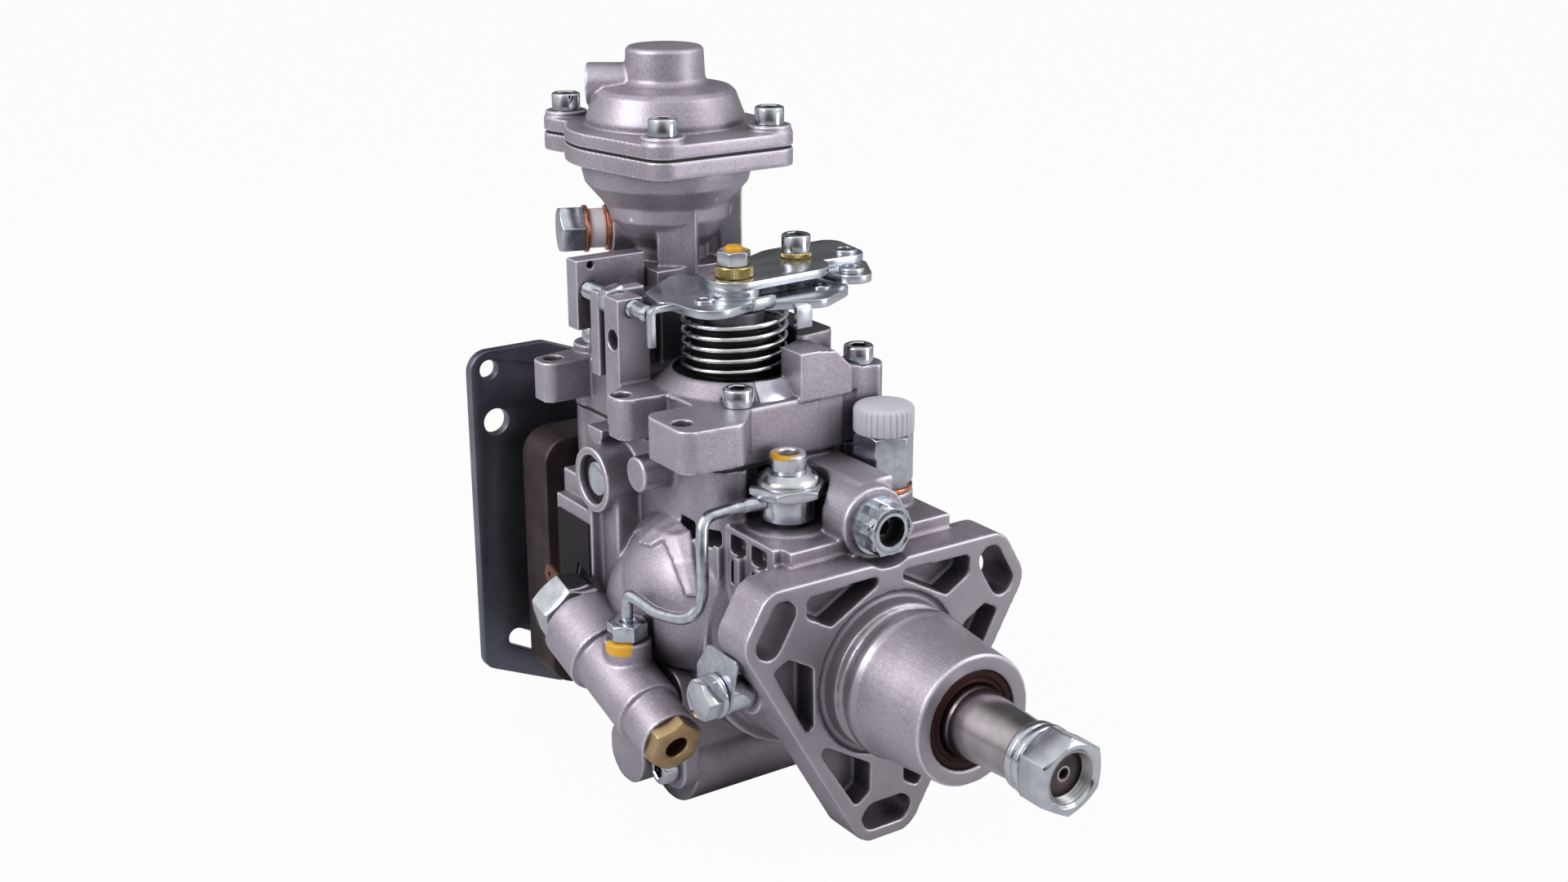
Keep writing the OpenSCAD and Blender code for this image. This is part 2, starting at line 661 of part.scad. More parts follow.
// The cam plate's ramps: a bump between two rollers, rising by cam_rise
module cam_plate() {
    color("#7c7d81") {
        difference() {
            union() {
                rod_y(0, 0, cam_y + cam_rise, plunger_y, cam_plate_r);
                for (i = [0:outlets - 1]) rotate([0, 90*i, 0]) intersection() {
                    difference() {
                        rod_y(0, 0, cam_y, cam_y + cam_rise + 1, cam_plate_r);
                        rod_y(0, 0, cam_y - 1, cam_y + cam_rise + 2, roller_circle_r - 4.5);
                    }
                    slab_z(0, 40) polygon([[-9, cam_y + cam_rise + 1], [-9, cam_y + cam_rise], [-3, cam_y],
                        [3, cam_y], [9, cam_y + cam_rise], [9, cam_y + cam_rise + 1]]);
                }
                intersection() {
                    rod_y(0, 0, disc_y + 9, cam_y + cam_rise + 1, claw_r);
                    block(-4, 4, disc_y + 9, cam_y + cam_rise + 1, -claw_r, claw_r);
                }
            }
            rod_y(0, 0, disc_y + 8, cam_y + cam_rise, 8);
        }
    }
}

module plunger() {
    color("#d7d8da") difference() {
        union() {
            rod_y(0, 0, plunger_y, plunger_y + 3, 10);
            rod_y(0, 0, plunger_y, plunger_end_y, plunger_r);
        }
        rod_y(0, 0, spool_y - 4, plunger_end_y + 1, 1.2);
        rod_z(0, spool_y, -10, 10, 1);
    }
}

spool_w = 10;
module control_spool() {
    color("#b9babd") difference() {
        rod_y(0, 0, spool_y - spool_w/2, spool_y + spool_w/2, 11.5);
        rod_y(0, 0, spool_y - spool_w, spool_y + spool_w, plunger_r + run_gap);
        rod_z(0, spool_y, ball_z - 4.8, 20, 2.6);
    }
}

spring_x = 19;
module spring_bridge() {
    color("#8b8c90") difference() {
        block(-spring_x - 6, spring_x + 6, plunger_y + 3.2, plunger_y + 6, -6.5, 6.5);
        rod_y(0, 0, plunger_y, plunger_y + 8, plunger_r + free_gap);
    }
}

module inner_springs() {
    color("#6e6f73") {
        for (a = [-1, 1]) translate([a*spring_x, plunger_y + 7.2, 0]) rotate([-90, 0, 0])
            coil(4.4, 0.9, 7, head_front_y - plunger_y - 9, 12, 5);
        translate([-timing_len/2 - 2.9, timing_y, -timing_drop]) rotate([0, 90, 0]) coil(7, 1, 9, 33.8, 12, 5);
        translate([0, lever_y - 19, 70]) rotate([-90, 0, 0]) coil(2.6, 0.6, 6, 14.5, 12, 5);
        translate([0, boost_y, boost_joint_z - 22.9]) coil(9.5, 1, 4, 16.4, 16, 5);
    }
}

module distributor_head() {
    color("#6d686b") difference() {
        union() {
            slab_y(housing_len, head_rear_y) outline([for (c = [[-1, -1], [1, -1], [1, 1], [-1, 1]])
                [c[0]*(head_block_w/2 - 10), c[1]*(head_block_w/2 - 10), 10]]);
            rod_y(0, 0, head_front_y, housing_len, barrel_r);
            rod_y(0, 0, spool_y + spool_w/2 + 3, head_front_y, 13);
            rod_z(0, housing_len + 10.5, head_r - 8, head_r + 3, 8.8);
        }
        rod_y(0, 0, head_front_y - 20, plunger_end_y + 3, plunger_r + run_gap);
        for (i = [0:outlets - 1]) rotate([0, 45 + 90*i, 0])
            rod_y(0, outlet_circle_r, head_rear_y - 8, head_rear_y + 1, outlet_thread_r + 1);
        rod_z(0, housing_len + 10.5, head_r - 14, head_r + 4, 6);
        difference() {
            rod_z(0, housing_len + 10.5, head_r - 4, head_block_w/2 + 1, 13);
            rod_z(0, housing_len + 10.5, head_r - 9, head_r + 3, 8.8);
        }
        for (a = [-1, 1]) rod_y(a*spring_x, 0, head_front_y - 1, head_front_y + 0.6, 6);
    }
}

module at_outlets() { for (i = [0:outlets - 1]) rotate([0, 45 + 90*i, 0]) translate([0, head_rear_y, outlet_circle_r]) children(); }
module delivery_holders() {
    color("#c8cace") at_outlets() rotate([-90, 0, 0]) difference() {
        union() {
            translate([0, 0, -7.9]) cylinder(h = 9, r = outlet_thread_r + 1);
            translate([0, 0, 1]) hexagon(holder_af, 8);
            cylinder(h = holder_len, r = outlet_thread_r);
        }
        translate([0, 0, -9]) cylinder(h = 17, r = 4);
        cylinder(h = holder_len + 1, r = 1.2);
        translate([0, 0, holder_len - 3]) cylinder(h = 3.1, r1 = 1.2, r2 = 4);
    }
}

module delivery_valves() {
    color("#d7d8da") at_outlets() rotate([-90, 0, 0]) {
        translate([0, 0, -7.5]) cylinder(h = 8, r = 4 - run_gap);
    }
}

module shutoff_solenoid() {
    color("#c9cbcf") difference() {
        union() {
            rod_z(0, housing_len + 10.5, head_r - 13, head_r + 4, 6);
            translate([0, housing_len + 10.5, head_r + 3]) hexagon(19, 6);
            rod_z(0, housing_len + 10.5, head_r + 8, head_r + 24, 9.3);
            rod_z(0, housing_len + 10.5, head_r + 24, head_r + 31, 2.5);
        }
        rod_z(0, housing_len + 10.5, head_r - 14, head_r + 12, 4);
    }
}

module shutoff_armature() {
    color("#98999d") rod_z(0, housing_len + 10.5, head_r - 12.5, head_r + 9, 4 - run_gap);
}

piston_half = 17;
piston_end_x = 34;
module timing_piston() {
    color("#a9aaae") difference() {
        rod_x(timing_y, -timing_drop, -piston_half, piston_end_x, timing_bore_r - run_gap);
        rod_x(timing_y, -timing_drop, piston_end_x - 18, piston_end_x + 1, 8.6);
        rod_x(timing_y, -timing_drop, -piston_half - 1, -piston_half + 9, 8.6);
        rod_z(0, timing_y, -timing_drop - 6, -timing_drop + 20, 5.6);
    }
}

module timing_cover() {
    color("#a29ca3") difference() {
        union() {
            slab_x(timing_len/2, timing_len/2 + 6)
                outline([[timing_y - 14, -timing_drop - 2, 7], [timing_y + 14, -timing_drop - 2, 7],
                    [timing_y + 14, -timing_drop + 14, 7], [timing_y - 14, -timing_drop + 14, 7]]);
            rod_x(timing_y, -timing_drop, piston_end_x + 0.3, timing_len/2 + 1, timing_bore_r - 0.1);
            rod_x(timing_y, -timing_drop, timing_len/2, timing_len/2 + 8, timing_bore_r - 1);
        }
        rod_x(timing_y, -timing_drop, piston_end_x, timing_len/2 + 5, 8);
        for (a = [-1, 1]) rod_x(timing_y + a*16, -timing_drop - a*4, timing_len/2 - 1, timing_len/2 + 7, screw_r);
    }
}

// Cold-start device's own frame: +Z along its axis, up and to the rear
module cold_frame() { translate([-cold_x, cold_y, cold_z]) rotate([-90 + cold_slope, 0, 0]) children(); }
module cold_start_body() {
    color("#a9a2a9") difference() {
        union() {
            cold_frame() {
                translate([0, 0, 5]) cylinder(h = 19.5, r = cold_big_r);
                translate([0, 0, -37]) cylinder(h = 50, r = cold_small_r);
                translate([0, 0, -24]) cylinder(h = 32, r = cold_small_r + 1.5);
            }
            rod_z(-cold_x + 1, 66, -18, pipe_nut_z - 0.1, 8);
            slab_x(-timing_len/2 - 6, -timing_len/2)
                outline([[timing_y - 11, -timing_drop + 1.5, 8], [timing_y + 14, -timing_drop - 2, 8],
                    [timing_y + 18, -20, 8], [timing_y - 10, -18, 8]]);
            rod_x(timing_y + 6, -timing_drop + 2, -timing_len/2 - 14, -timing_len/2, 11);
            block(-cold_x + 4, -timing_len/2 - 1, timing_y - 6, timing_y + 12, -timing_drop + 8, -14);
        }
        cold_frame() {
            translate([0, 0, -38]) cylinder(h = 70, r = 6);
            translate([0, 0, -38]) cylinder(h = 6, r = 7.6);
            translate([0, 0, 19]) cylinder(h = 12, r = 9);
        }
        rod_x(timing_y, -timing_drop, -timing_len/2 - 4, -timing_len/2 + 1, 9);
        rod_z(-cold_x + 1, 66, -9, 4, 3);
        rod_x(timing_y - 11, -timing_drop + 1.5, -timing_len/2 - 7, -timing_len/2 + 1, screw_r);
    }
}

module cold_start_heater() {
    color("#cfd1d5") cold_frame() {
        difference() {
            union() {
                translate([0, 0, 19.2]) cylinder(h = 12, r = 8.9);
                translate([0, 0, 24.7]) cylinder(h = 3, r = 9.8);
                translate([0, 0, 27.5]) hexagon(21, 12);
                translate([0, 0, 39]) cylinder(h = 3, r = 8);
            }
            translate([0, 0, 15]) cylinder(h = 10, r = 5.9);
        }
        translate([-0.5, -8, 41.5]) cube([1, 7, 9]);
    }
}

module brass_plug() {
    color("#b08d4f") cold_frame() difference() {
        union() {
            translate([0, 0, -37.8]) cylinder(h = 5.6, r = 7.5);
            translate([0, 0, -42]) hexagon(17, 4.9);
        }
        translate([0, 0, -43]) cylinder(h = 16, r = brass_bore_r);
    }
}

// Pressure valve: heights above the deck
valve_base = deck_z + 1;
module pressure_valve() {
    color("#d4d6d9") translate([-valve_x, fittings_y, valve_base]) difference() {
        union() {
            translate([0, 0, -10]) cylinder(h = 12, r = 4.45);
            translate([0, 0, 1.4]) cylinder(h = 8.4, r = 8.8);
            intersection() {
                translate([0, 0, 9.7]) hexagon(22.4, 3.6);
                translate([0, 0, 9.7]) cylinder(h = 3.6, r = 12.4);
            }
            translate([0, 0, 13.3]) cylinder(h = 2.2, r1 = 10, r2 = 9.4);
            translate([0, 0, 15.5]) cylinder(h = 1.7, r1 = 9.4, r2 = 7.5);
            translate([0, 0, 17]) cylinder(h = 6.4, r = 6);
        }
        translate([0, 0, -11]) cylinder(h = 29, r = 3);
        translate([0, 0, 17.5]) cylinder(h = 7, r = 3.2);
        translate([0, 1.4, 7.5]) rotate([0, -90, 0]) cylinder(h = 12, r = pipe_r - 0.3);
    }
}

module pressure_piston() {
    color("#a9aaae") translate([-valve_x, fittings_y, valve_base]) cylinder(h = 10, r = 3 - run_gap);
}

// Route of the steel pipe from the pressure valve to the cold-start device
pipe_route = [[-25, 35.4, 52], [-36, 37, 51.8], [-46, 38, 50.5], [-48, 35, 40], [-49, 33, 24], [-53, 36, 18],
    [-56, 50, 16], [-57, 60, 17.5], [-58, 66, 18], [-58, 66, 0]];
pipe_steps = 5;
function bent(route, cut) = [for (i = [0:len(route) - 1])
    each (i == 0 || i == len(route) - 1) ? [route[i]] :
        let (p = route[i], a = p + cut*(route[i - 1] - p), b = p + cut*(route[i + 1] - p))
        [for (k = [0:pipe_steps]) let (t = k/pipe_steps) (1 - t)*(1 - t)*a + 2*t*(1 - t)*p + t*t*b]];
module tube(path, r, sides, across) {
    n = len(path) - 1;
    points = [for (i = [0:n]) let (
            d = unit(path[min(i + 1, n)] - path[max(i - 1, 0)]),
            u = unit(cross(across, d)),
            v = cross(u, d))
        each [for (k = [0:sides - 1]) path[i] + r*(cos(360*k/sides)*u + sin(360*k/sides)*v)]];
    faces = concat(
        [for (i = [0:n - 1]) for (k = [0:sides - 1])
            [i*sides + k, i*sides + (k + 1) % sides, (i + 1)*sides + (k + 1) % sides, (i + 1)*sides + k]],
        [[for (k = [0:sides - 1]) sides - 1 - k]],
        [[for (k = [0:sides - 1]) n*sides + k]]);
    polyhedron(points, faces, convexity = 10);
}
pipe_nut_z = 2.5;
module cold_start_pipe() {
    color("#cdd0d4") {
        tube(bent(pipe_route, 0.35), pipe_r, 12, [0.75, 0.65, 0.1]);
        difference() {
            translate([-cold_x + 1, 66, pipe_nut_z]) hexagon(12, 6);
            rod_z(-cold_x + 1, 66, pipe_nut_z - 1, pipe_nut_z + 7, pipe_r + 0.01);
        }
    }
}

inlet_z = deck_z + 5;
module inlet_union() {
    color("#d1d3d6") translate([inlet_x, fittings_y, inlet_z + 1.6]) difference() {
        union() {
            hexagon(inlet_af, inlet_h);
            translate([0, 0, -12]) cylinder(h = 13, r = 4.95);
        }
        translate([0, 0, -13]) cylinder(h = inlet_h + 14, r = 3.4);
    }
}

cap_ribs = 30;
module inlet_cap() {
    cap_z = inlet_z + 1.6 + inlet_h + 0.05;
    color("#e9e9ee") {
        difference() {
            rod_z(inlet_x, fittings_y, cap_z - 5, cap_z + 4, cap_r - 0.4);
            translate([inlet_x, fittings_y, cap_z - 6]) hexagon(inlet_af + 0.1, 6);
            for (i = [0:cap_ribs - 1]) translate([inlet_x, fittings_y, cap_z - 6]) rotate(360*i/cap_ribs)
                translate([cap_r, 0, 0]) cylinder(h = 8.5, r = 0.8);
        }
    }
}

module ring_z(x, y, z0, z1, r_out, r_in) {
    difference() {
        rod_z(x, y, z0, z1, r_out);
        rod_z(x, y, z0 - 1, z1 + 1, r_in);
    }
}

module seal_washers() {
    color("#b2683a") {
        ring_z(inlet_x, fittings_y, inlet_z, inlet_z + 1.6, 9.8, 5);
        ring_z(-valve_x, fittings_y, valve_base, valve_base + 1.3, 10.4, 4.5);
        union_frame() {
            translate([0, 0, 8.1]) difference() { cylinder(h = 1.5, r = 8); translate([0, 0, -1]) cylinder(h = 4, r = 5); }
            translate([0, 0, 15.7]) difference() { cylinder(h = 1.5, r = 8.2); translate([0, 0, -1]) cylinder(h = 4, r = 5); }
        }
    }
}

module lock_bolt() {
    color("#dadcdf") {
        difference() {
            rod_x(17, 0, -53, -44.1, 6.6);
            rod_x(17, 0, -54, -43, 4.05);
        }
        rod_x(17, 0, -56, -54.1, 7.2);
        translate([-62, 17, 0]) rotate([0, 90, 0]) hexagon(12, 6.1);
        rod_x(17, 0, -56, -journal_r - 1.6, 4);
        slab_x(-54, -53.1) difference() {
            outline([[14, 0, 8], [22, 15, 4]]);
            translate([17, 0]) circle(4.05);
        }
    }
}

neck_r = 22;
bowl_r = 29.6;
column_x = -41;
module lug(points, z0, z1, hole) {
    difference() {
        slab_z(z0, z1) outline(points);
        rod_z(hole[0], hole[1], z0 - 1, z1 + 1, lug_hole_r);
    }
}
module governor_cover() {
    shaft_x = -lever_x;
    color("#b1abb2") difference() {
        union() {
            slab_z(joint_z, floor_z) outline(cover_discs);
            lug([[-49.5, 38.5, 5.5], [-36, 37, 5], [-26, 50, 6], [-49.5, 53, 5.5]], floor_z - lug_h, floor_z, [-49.3, 43.6]);
            lug([[-49, 78, 5], [-30, 77, 5], [-30, 90, 5], [-49, 80.5, 5]], floor_z - lug_h, floor_z, [-50, 80.3]);
            lug([[-50, 128, 4.5], [-30, 128, 4.5], [-30, 134, 4.5], [-50, 131, 4.5]], floor_z - lug_h, floor_z, [-47.9, 130.8]);
            rod_z(cover_screws[2][0], cover_screws[2][1], joint_z, high_floor_z - 3, 8);
            rod_z(cover_screws[3][0], cover_screws[3][1], joint_z, high_floor_z - 3, 8);
            rod_z(cover_screws[1][0], cover_screws[1][1], joint_z, high_floor_z, 8);
            slab_z(floor_z - 1, 97) outline([[8, 62, 4], [16, 64, 5], [16, 95, 5], [-2, 100, 4]]);
            block(-5, 2.5, 42.5, 60, floor_z - 1, 96);
            slab_y(42.5, 62) polygon([[2.4, 96], [9, 95], [15, 89], [24, high_floor_z - 0.2], [24, floor_z - 1], [2.4, floor_z - 1]]);
            translate([shaft_x, lever_shaft_y, floor_z - 1]) cylinder(h = 6, r1 = 28, r2 = 21.5);
            rod_z(shaft_x, lever_shaft_y, floor_z, lower_plate_z - 1.2, 10);
            block(column_x - 5, column_x + 4.6, 88, 97, joint_z + 4, 110);
            block(column_x + 3, -34, 88, 97, joint_z + 4, 101);
            block(column_x - 3, -26, 104.6, 110, floor_z - 1, 109);
            block(-44.5, -18, 118, 125, floor_z + 12, 117);
            block(-36, -10, 109, 126, floor_z - 1, 104);
            block(-20, 20, 104, boost_y, floor_z - 1, 102);
            block(-17, 12, 111, boost_y, floor_z - 1, 111);
            rod_z(-4.4, 118, floor_z, 131, 6.6);
            union_frame() translate([0, 0, -12]) cylinder(h = 20.1, r = 9.4);
            translate([0, boost_y, 0]) rotate(-31) block(18, 26, -4, 3, 95, rim_low_z - 8);
            translate([0, boost_y, 0]) turned_z([[0, floor_z - 10], [14, floor_z - 10], [14, 116], [18, 120], [neck_r, 126],
                [neck_r + 0.6, 131], [bowl_r - 1, 138], [bowl_r, 142], [bowl_r, rim_low_z + 1], [0, rim_low_z + 1]]);
            slab_z(rim_low_z, boost_joint_z) rim_outline();
        }
        difference() {
            slab_z(joint_z - 1, floor_z - 4) outline(shrunk(cover_discs, cover_wall));
            for (s = cover_screws) rod_z(s[0], s[1], joint_z - 2, floor_z, screw_r + 3.5);
        }
        rod_z(shaft_x, lever_shaft_y, floor_z - 10, 120, lever_shaft_r + run_gap);
        difference() {
            rod_z(shaft_x, lever_shaft_y, floor_z + 2, 110, 20.5);
            rod_z(shaft_x, lever_shaft_y, floor_z, 115, 10);
        }
        translate([0, boost_y, 0]) turned_z([[0, 128], [17, 128], [26, 140], [27, boost_joint_z + 1], [0, boost_joint_z + 1]]);
        rod_z(0, boost_y, floor_z - 8, 130, 5 + run_gap);
        rod_y(0, governor_z, gear_y - 0.6, lever_y, carrier_r + 0.8);
        for (s = cover_screws) {
            rod_z(s[0], s[1], joint_z - 1, s[2] + 1, screw_r);
            rod_z(s[0], s[1], s[2], s[2] + 40, 6.6);
        }
        for (s = boost_screws) rod_z(s[0], s[1], rim_low_z - 1, boost_joint_z + 1, screw_r);
        rod_y(column_x + 1, 106.5, 80, 140, 3);
        rod_x(92, 96, column_x - 6, column_x, 3.4);
        rod_y(-39, 115, 117, 122, 1.2);
        union_frame() translate([0, 0, -20]) cylinder(h = 30, r = 4);
        union_frame() translate([0, 0, 8.1]) cylinder(h = 22, r = 9);
        rod_z(inlet_x, fittings_y, 50, 90, cap_r + 0.6);
    }
}

module rim_outline(in = 0) {
    outline([[-boost_screw_x, boost_y - boost_screw_y, 8 - in], [boost_screw_x, boost_y - boost_screw_y, 8 - in],
        [0, boost_y, boost_r - in]]);
    for (a = [-1, 1]) outline([[a*boost_screw_x, boost_y + boost_screw_y, 8 - in], [a*11, boost_y + 14, 13 - in]]);
}

// Return union's own frame: +Z out of the neck
module union_frame() { translate([-11.5, boost_y + 5.5, 121.5]) rotate([0, -90, -20]) children(); }
module return_union() {
    color("#dcdde0") union_frame() {
        difference() {
            translate([0, 0, 17.3]) hexagon(15, 8.5);
            translate([0, 0, 17]) cylinder(h = 8, r = 4.95);
        }
        translate([0, 0, 2]) cylinder(h = 23, r = 3.9);
        difference() {
            translate([0, 0, 9.7]) cylinder(h = 5.9, r = 6.9);
            translate([0, 0, 9]) cylinder(h = 8, r = 5);
        }
    }
}

module cover_gasket() {
    color("#2a2a2c") difference() {
        slab_z(seat_z, joint_z) outline(shrunk(cover_discs, 0.4));
        slab_z(seat_z - 1, joint_z + 1) outline(shrunk(cover_discs, cover_wall));
        rod_y(0, governor_z, gear_y - 0.6, lever_y, carrier_r + 0.8);
        for (s = cover_screws) rod_z(s[0], s[1], seat_z - 1, joint_z + 1, screw_r);
    }
}

module socket_screws() {
    color("#cfd2d6") {
        for (s = cover_screws) translate(s) socket_screw(screw_r, s[2] - seat_z + 12);
        for (s = boost_screws) translate([s[0], s[1], rim_top_z + 2.2]) socket_screw(screw_r, rim_top_z + 2.2 - rim_low_z);
        translate([-timing_len/2 - 6, timing_y - 11, -timing_drop + 1.5]) rotate([0, -90, 0]) socket_screw(screw_r, 6);
        for (a = [-1, 1]) translate([timing_len/2 + 6, timing_y + a*16, -timing_drop - a*4]) rotate([0, 90, 0])
            socket_screw(screw_r, 6);
    }
}

module boost_cap() {
    base = rim_top_z;
    color("#b5afb6") difference() {
        union() {
            slab_z(boost_joint_z + 0.8, base) rim_outline();
            for (s = boost_screws) rod_z(s[0], s[1], base - 1, base + 2.2, 7.4);
            translate([0, boost_y, 0]) turned_z([[0, base - 1], [27.6, base - 1], [27.6, base + 2.5], [24.4, base + 11],
                [22.6, base + 12.6], [boss_r + 1.6, base + 14], [boss_r, base + 15.5], [boss_r - 0.5, boost_top_z - 1],
                [boss_r - 1.5, boost_top_z], [0, boost_top_z]]);
            translate([0, boost_y, base + 13.5]) rotate([0, 90, 145]) cylinder(h = 27, r = 7.2);
        }
        translate([0, boost_y, 0]) turned_z([[0, boost_joint_z], [24.5, boost_joint_z], [23, base + 4], [20, base + 9.5],
            [0, base + 9.5]]);
        translate([0, boost_y, base + 13.5]) rotate([0, 90, 145]) translate([0, 0, 16]) cylinder(h = 12, r = 4.5);
        for (s = boost_screws) rod_z(s[0], s[1], boost_joint_z - 1, base + 3, screw_r);
        for (s = boost_screws) rod_z(s[0], s[1], base + 2.2, base + 30, 6);
    }
}

module boost_diaphragm() {
    color("#202022") difference() {
        union() {
            slab_z(boost_joint_z, boost_joint_z + 0.8) rim_outline(1);
        }
        for (s = boost_screws) rod_z(s[0], s[1], boost_joint_z - 1, boost_joint_z + 2, screw_r);
        rod_z(0, boost_y, boost_joint_z - 1, boost_joint_z + 2, 4);
    }
}

module boost_pin() {
    color("#a7a8ac") {
        rod_z(0, boost_y, boost_joint_z - 5.2, boost_joint_z - 0.1, 14);
        rod_z(0, boost_y, boost_joint_z + 0.9, boost_joint_z + 3, 16);
        rod_z(0, boost_y, floor_z - 2, boost_joint_z + 6, 3.8);
        translate([0, boost_y, floor_z + 3]) cylinder(h = 40, r = 5);
    }
}

module lever_shaft() {
    color("#d0d2d6") translate([-lever_x, lever_shaft_y, 0]) {
        rod_z(0, 0, floor_z - 8, lower_plate_z, lever_shaft_r);
        rod_z(0, 0, lower_plate_z - 0.5, 116.2, 4);
        rod_z(0, 0, 116, 126.4, 3);
        rod_z(0, 0, floor_z - 11, floor_z - 7, 8);
        rod_z(lever_x - 3, 4, floor_z - 12.5, floor_z - 9, 2);
    }
}

lever_rivets = [[-22.7, 72.1], [19.4, 66.2]];
// Lower plate: discs of each arm, seen from above, round the lever's shaft
module lever_plate_lower() {
    top = lower_plate_z + lever_t;
    color("#d8dade") {
        difference() {
            union() {
                slab_z(lower_plate_z, top) {
                    outline([[-lever_x, lever_shaft_y, 12], [-12, 103, 5], [-29, 91, 4], [-32.1, 80, 3.3]]);
                    outline([[-lever_x, lever_shaft_y, 12], [-28, 79, 5], [-23, 67, 8.5]]);
                    outline([[-lever_x, lever_shaft_y, 12], [11, 59, 6.5], [21, 66.5, 8], [14, 92, 6]]);
                }
                block(-41.5, -30, 75.4, 78, lower_plate_z, top);
                block(-41.5, -37.5, 75.4, 78, lower_plate_z - 11, top);
                block(1, 7, 53.2, 55.4, lower_plate_z - 6, top);
            }
            rod_z(-lever_x, lever_shaft_y, lower_plate_z - 9, top + 1, 4);
            for (p = lever_rivets) rod_z(p[0], p[1], lower_plate_z - 1, top + 1, 2);
        }
    }
}

upper_z = 113;
clamp = [23, 86];
module lever_plate_upper() {
    color("#dcdee2") difference() {
        union() {
            slab_z(upper_z, upper_z + lever_t) {
                outline([[-lever_x, lever_shaft_y, 9.5], [17, 77, 11], [20, 94.5, 5.5]]);
                outline([[23, 86, 9], [40.5, 83, 7], [44, 96.5, 5.5], [22, 95, 5.5]]);
            }
            slab_z(upper_z - 2.8, upper_z + 0.01) outline([[30, 79, 5], [33, 67, 6.5], [41, 78, 5]]);
            rod_z(-lever_x, lever_shaft_y, lower_plate_z + lever_t, upper_z + 0.01, 9);
            rod_z(clamp[0], clamp[1], lower_plate_z + lever_t, upper_z + 0.01, 6.5);
        }
        rod_z(-lever_x, lever_shaft_y, lower_plate_z, upper_z + 10, 4);
        rod_z(clamp[0], clamp[1], lower_plate_z - 1, upper_z + 10, 3);
        for (p = lever_rivets) rod_z(p[0], p[1], lower_plate_z + lever_t - 0.1, lower_plate_z + lever_t + 1.2, 3.9);
        rod_z(40.2, 81.5, upper_z - 4, upper_z + 5, 2.6);
    }
}

module lever_fasteners() {
    top = upper_z + lever_t;
    translate([-lever_x, lever_shaft_y, 0]) {
        color("#8f7a45") ring_z(0, 0, top + 0.2, top + 4, 5.9, 3);
        color("#d8dade") difference() {
            translate([0, 0, top + 4]) hexagon(10, 5);
            rod_z(0, 0, top, top + 12, 3);
        }
    }
    color("#8f7a45") ring_z(clamp[0], clamp[1], top, top + 2, 5, 3);
    color("#cfd2d6") translate([clamp[0], clamp[1], top + 2]) socket_screw(screw_r, top + 2 - lower_plate_z - lever_t);
    color("#e1e3e6") for (p = lever_rivets) {
        rod_z(p[0], p[1], lower_plate_z, lower_plate_z + lever_t, 2);
        rod_z(p[0], p[1], lower_plate_z + lever_t, lower_plate_z + lever_t + 0.9, 3.6);
    }
}

module return_spring() {
    color("#c9ccd1") translate([-lever_x, lever_shaft_y, floor_z + 4.1 + spring_wire_r])
        coil(spring_r - spring_wire_r, spring_wire_r, spring_turns,
            lower_plate_z - floor_z - 4.2 - 2*spring_wire_r, 24, 8);
}

module spring_seat() {
    color("#141416") translate([-lever_x, lever_shaft_y, 0]) {
        ring_z(0, 0, floor_z + 2.05, floor_z + 4, 19, 10);
        ring_z(0, 0, floor_z + 2.05, lower_plate_z - 6, spring_r - 3.4, 10);
    }
}

module speed_screw() {
    color("#d2d5d9") {
        rod_y(column_x + 1, 106.5, 78.3, 128, 3);
        translate([column_x + 1, 98, 106.5]) rotate([-90, 0, 0]) difference() {
            hexagon(10, 5);
            translate([0, 0, -1]) cylinder(h = 7, r = 3);
        }
    }
}

module core_plug() {
    color("#dcdee2") rod_x(102.5, 45, -pad_x + 4.4, -pad_x + 7, 8.5);
}

module name_plate() {
    color("#3a383c") difference() {
        block(-pad_x - 0.6, -pad_x, 104.5, 126.5, -4.5, 28);
        cold_frame() translate([0, 0, 20]) cylinder(h = 24, r = 13);
    }
}

bracket_y = head_rear_y + holder_len/2;
module rear_bracket() {
    color("#5d646c") difference() {
        union() {
            slab_y(bracket_y, bracket_y + bracket_t)
                outline([[-55, -44, 6], [-28, -56, 6], [40, -40, 8], [40, 40, 8], [-32, 67, 8], [-53, 67, 8]]);
            for (a = [45:90:315]) rotate([0, a, 0]) rod_y(0, head_r - 3.4, head_rear_y, bracket_y + 1, 3.4);
        }
        slab_y(bracket_y - 1, bracket_y + bracket_t + 1) circle(32);
        rod_y(-53.5, 68, bracket_y - 1, bracket_y + 9, bracket_hole_r);
        rod_y(-51.5, 48, bracket_y - 1, bracket_y + 9, bracket_big_hole_r);
        slab_y(bracket_y - 1, bracket_y + bracket_t + 1)
            outline([[-47, -39, bracket_slot_w/2], [-28, -49, bracket_slot_w/2]]);
    }
}

pump_housing();
front_bush();
shaft_seal();
drive_shaft();
shaft_nut();
pump_liner();
pump_rotor();
rotor_vanes();
pump_cover_plate();
drive_gear();
coupling_disc();
governor_shaft();
governor_carrier();
flyweight_1();
flyweight_2();
flyweight_3();
flyweight_4();
sliding_sleeve();
governor_lever();
roller_ring();
cam_rollers();
cam_plate();
plunger();
control_spool();
spring_bridge();
inner_springs();
distributor_head();
delivery_holders();
delivery_valves();
shutoff_solenoid();
shutoff_armature();
timing_piston();
timing_cover();
cold_start_body();
cold_start_heater();
brass_plug();
pressure_valve();
pressure_piston();
cold_start_pipe();
inlet_union();
inlet_cap();
seal_washers();
lock_bolt();
governor_cover();
cover_gasket();
socket_screws();
boost_cap();
boost_diaphragm();
boost_pin();
return_union();
lever_shaft();
lever_plate_lower();
lever_plate_upper();
lever_fasteners();
return_spring();
spring_seat();
speed_screw();
core_plug();
name_plate();
rear_bracket();
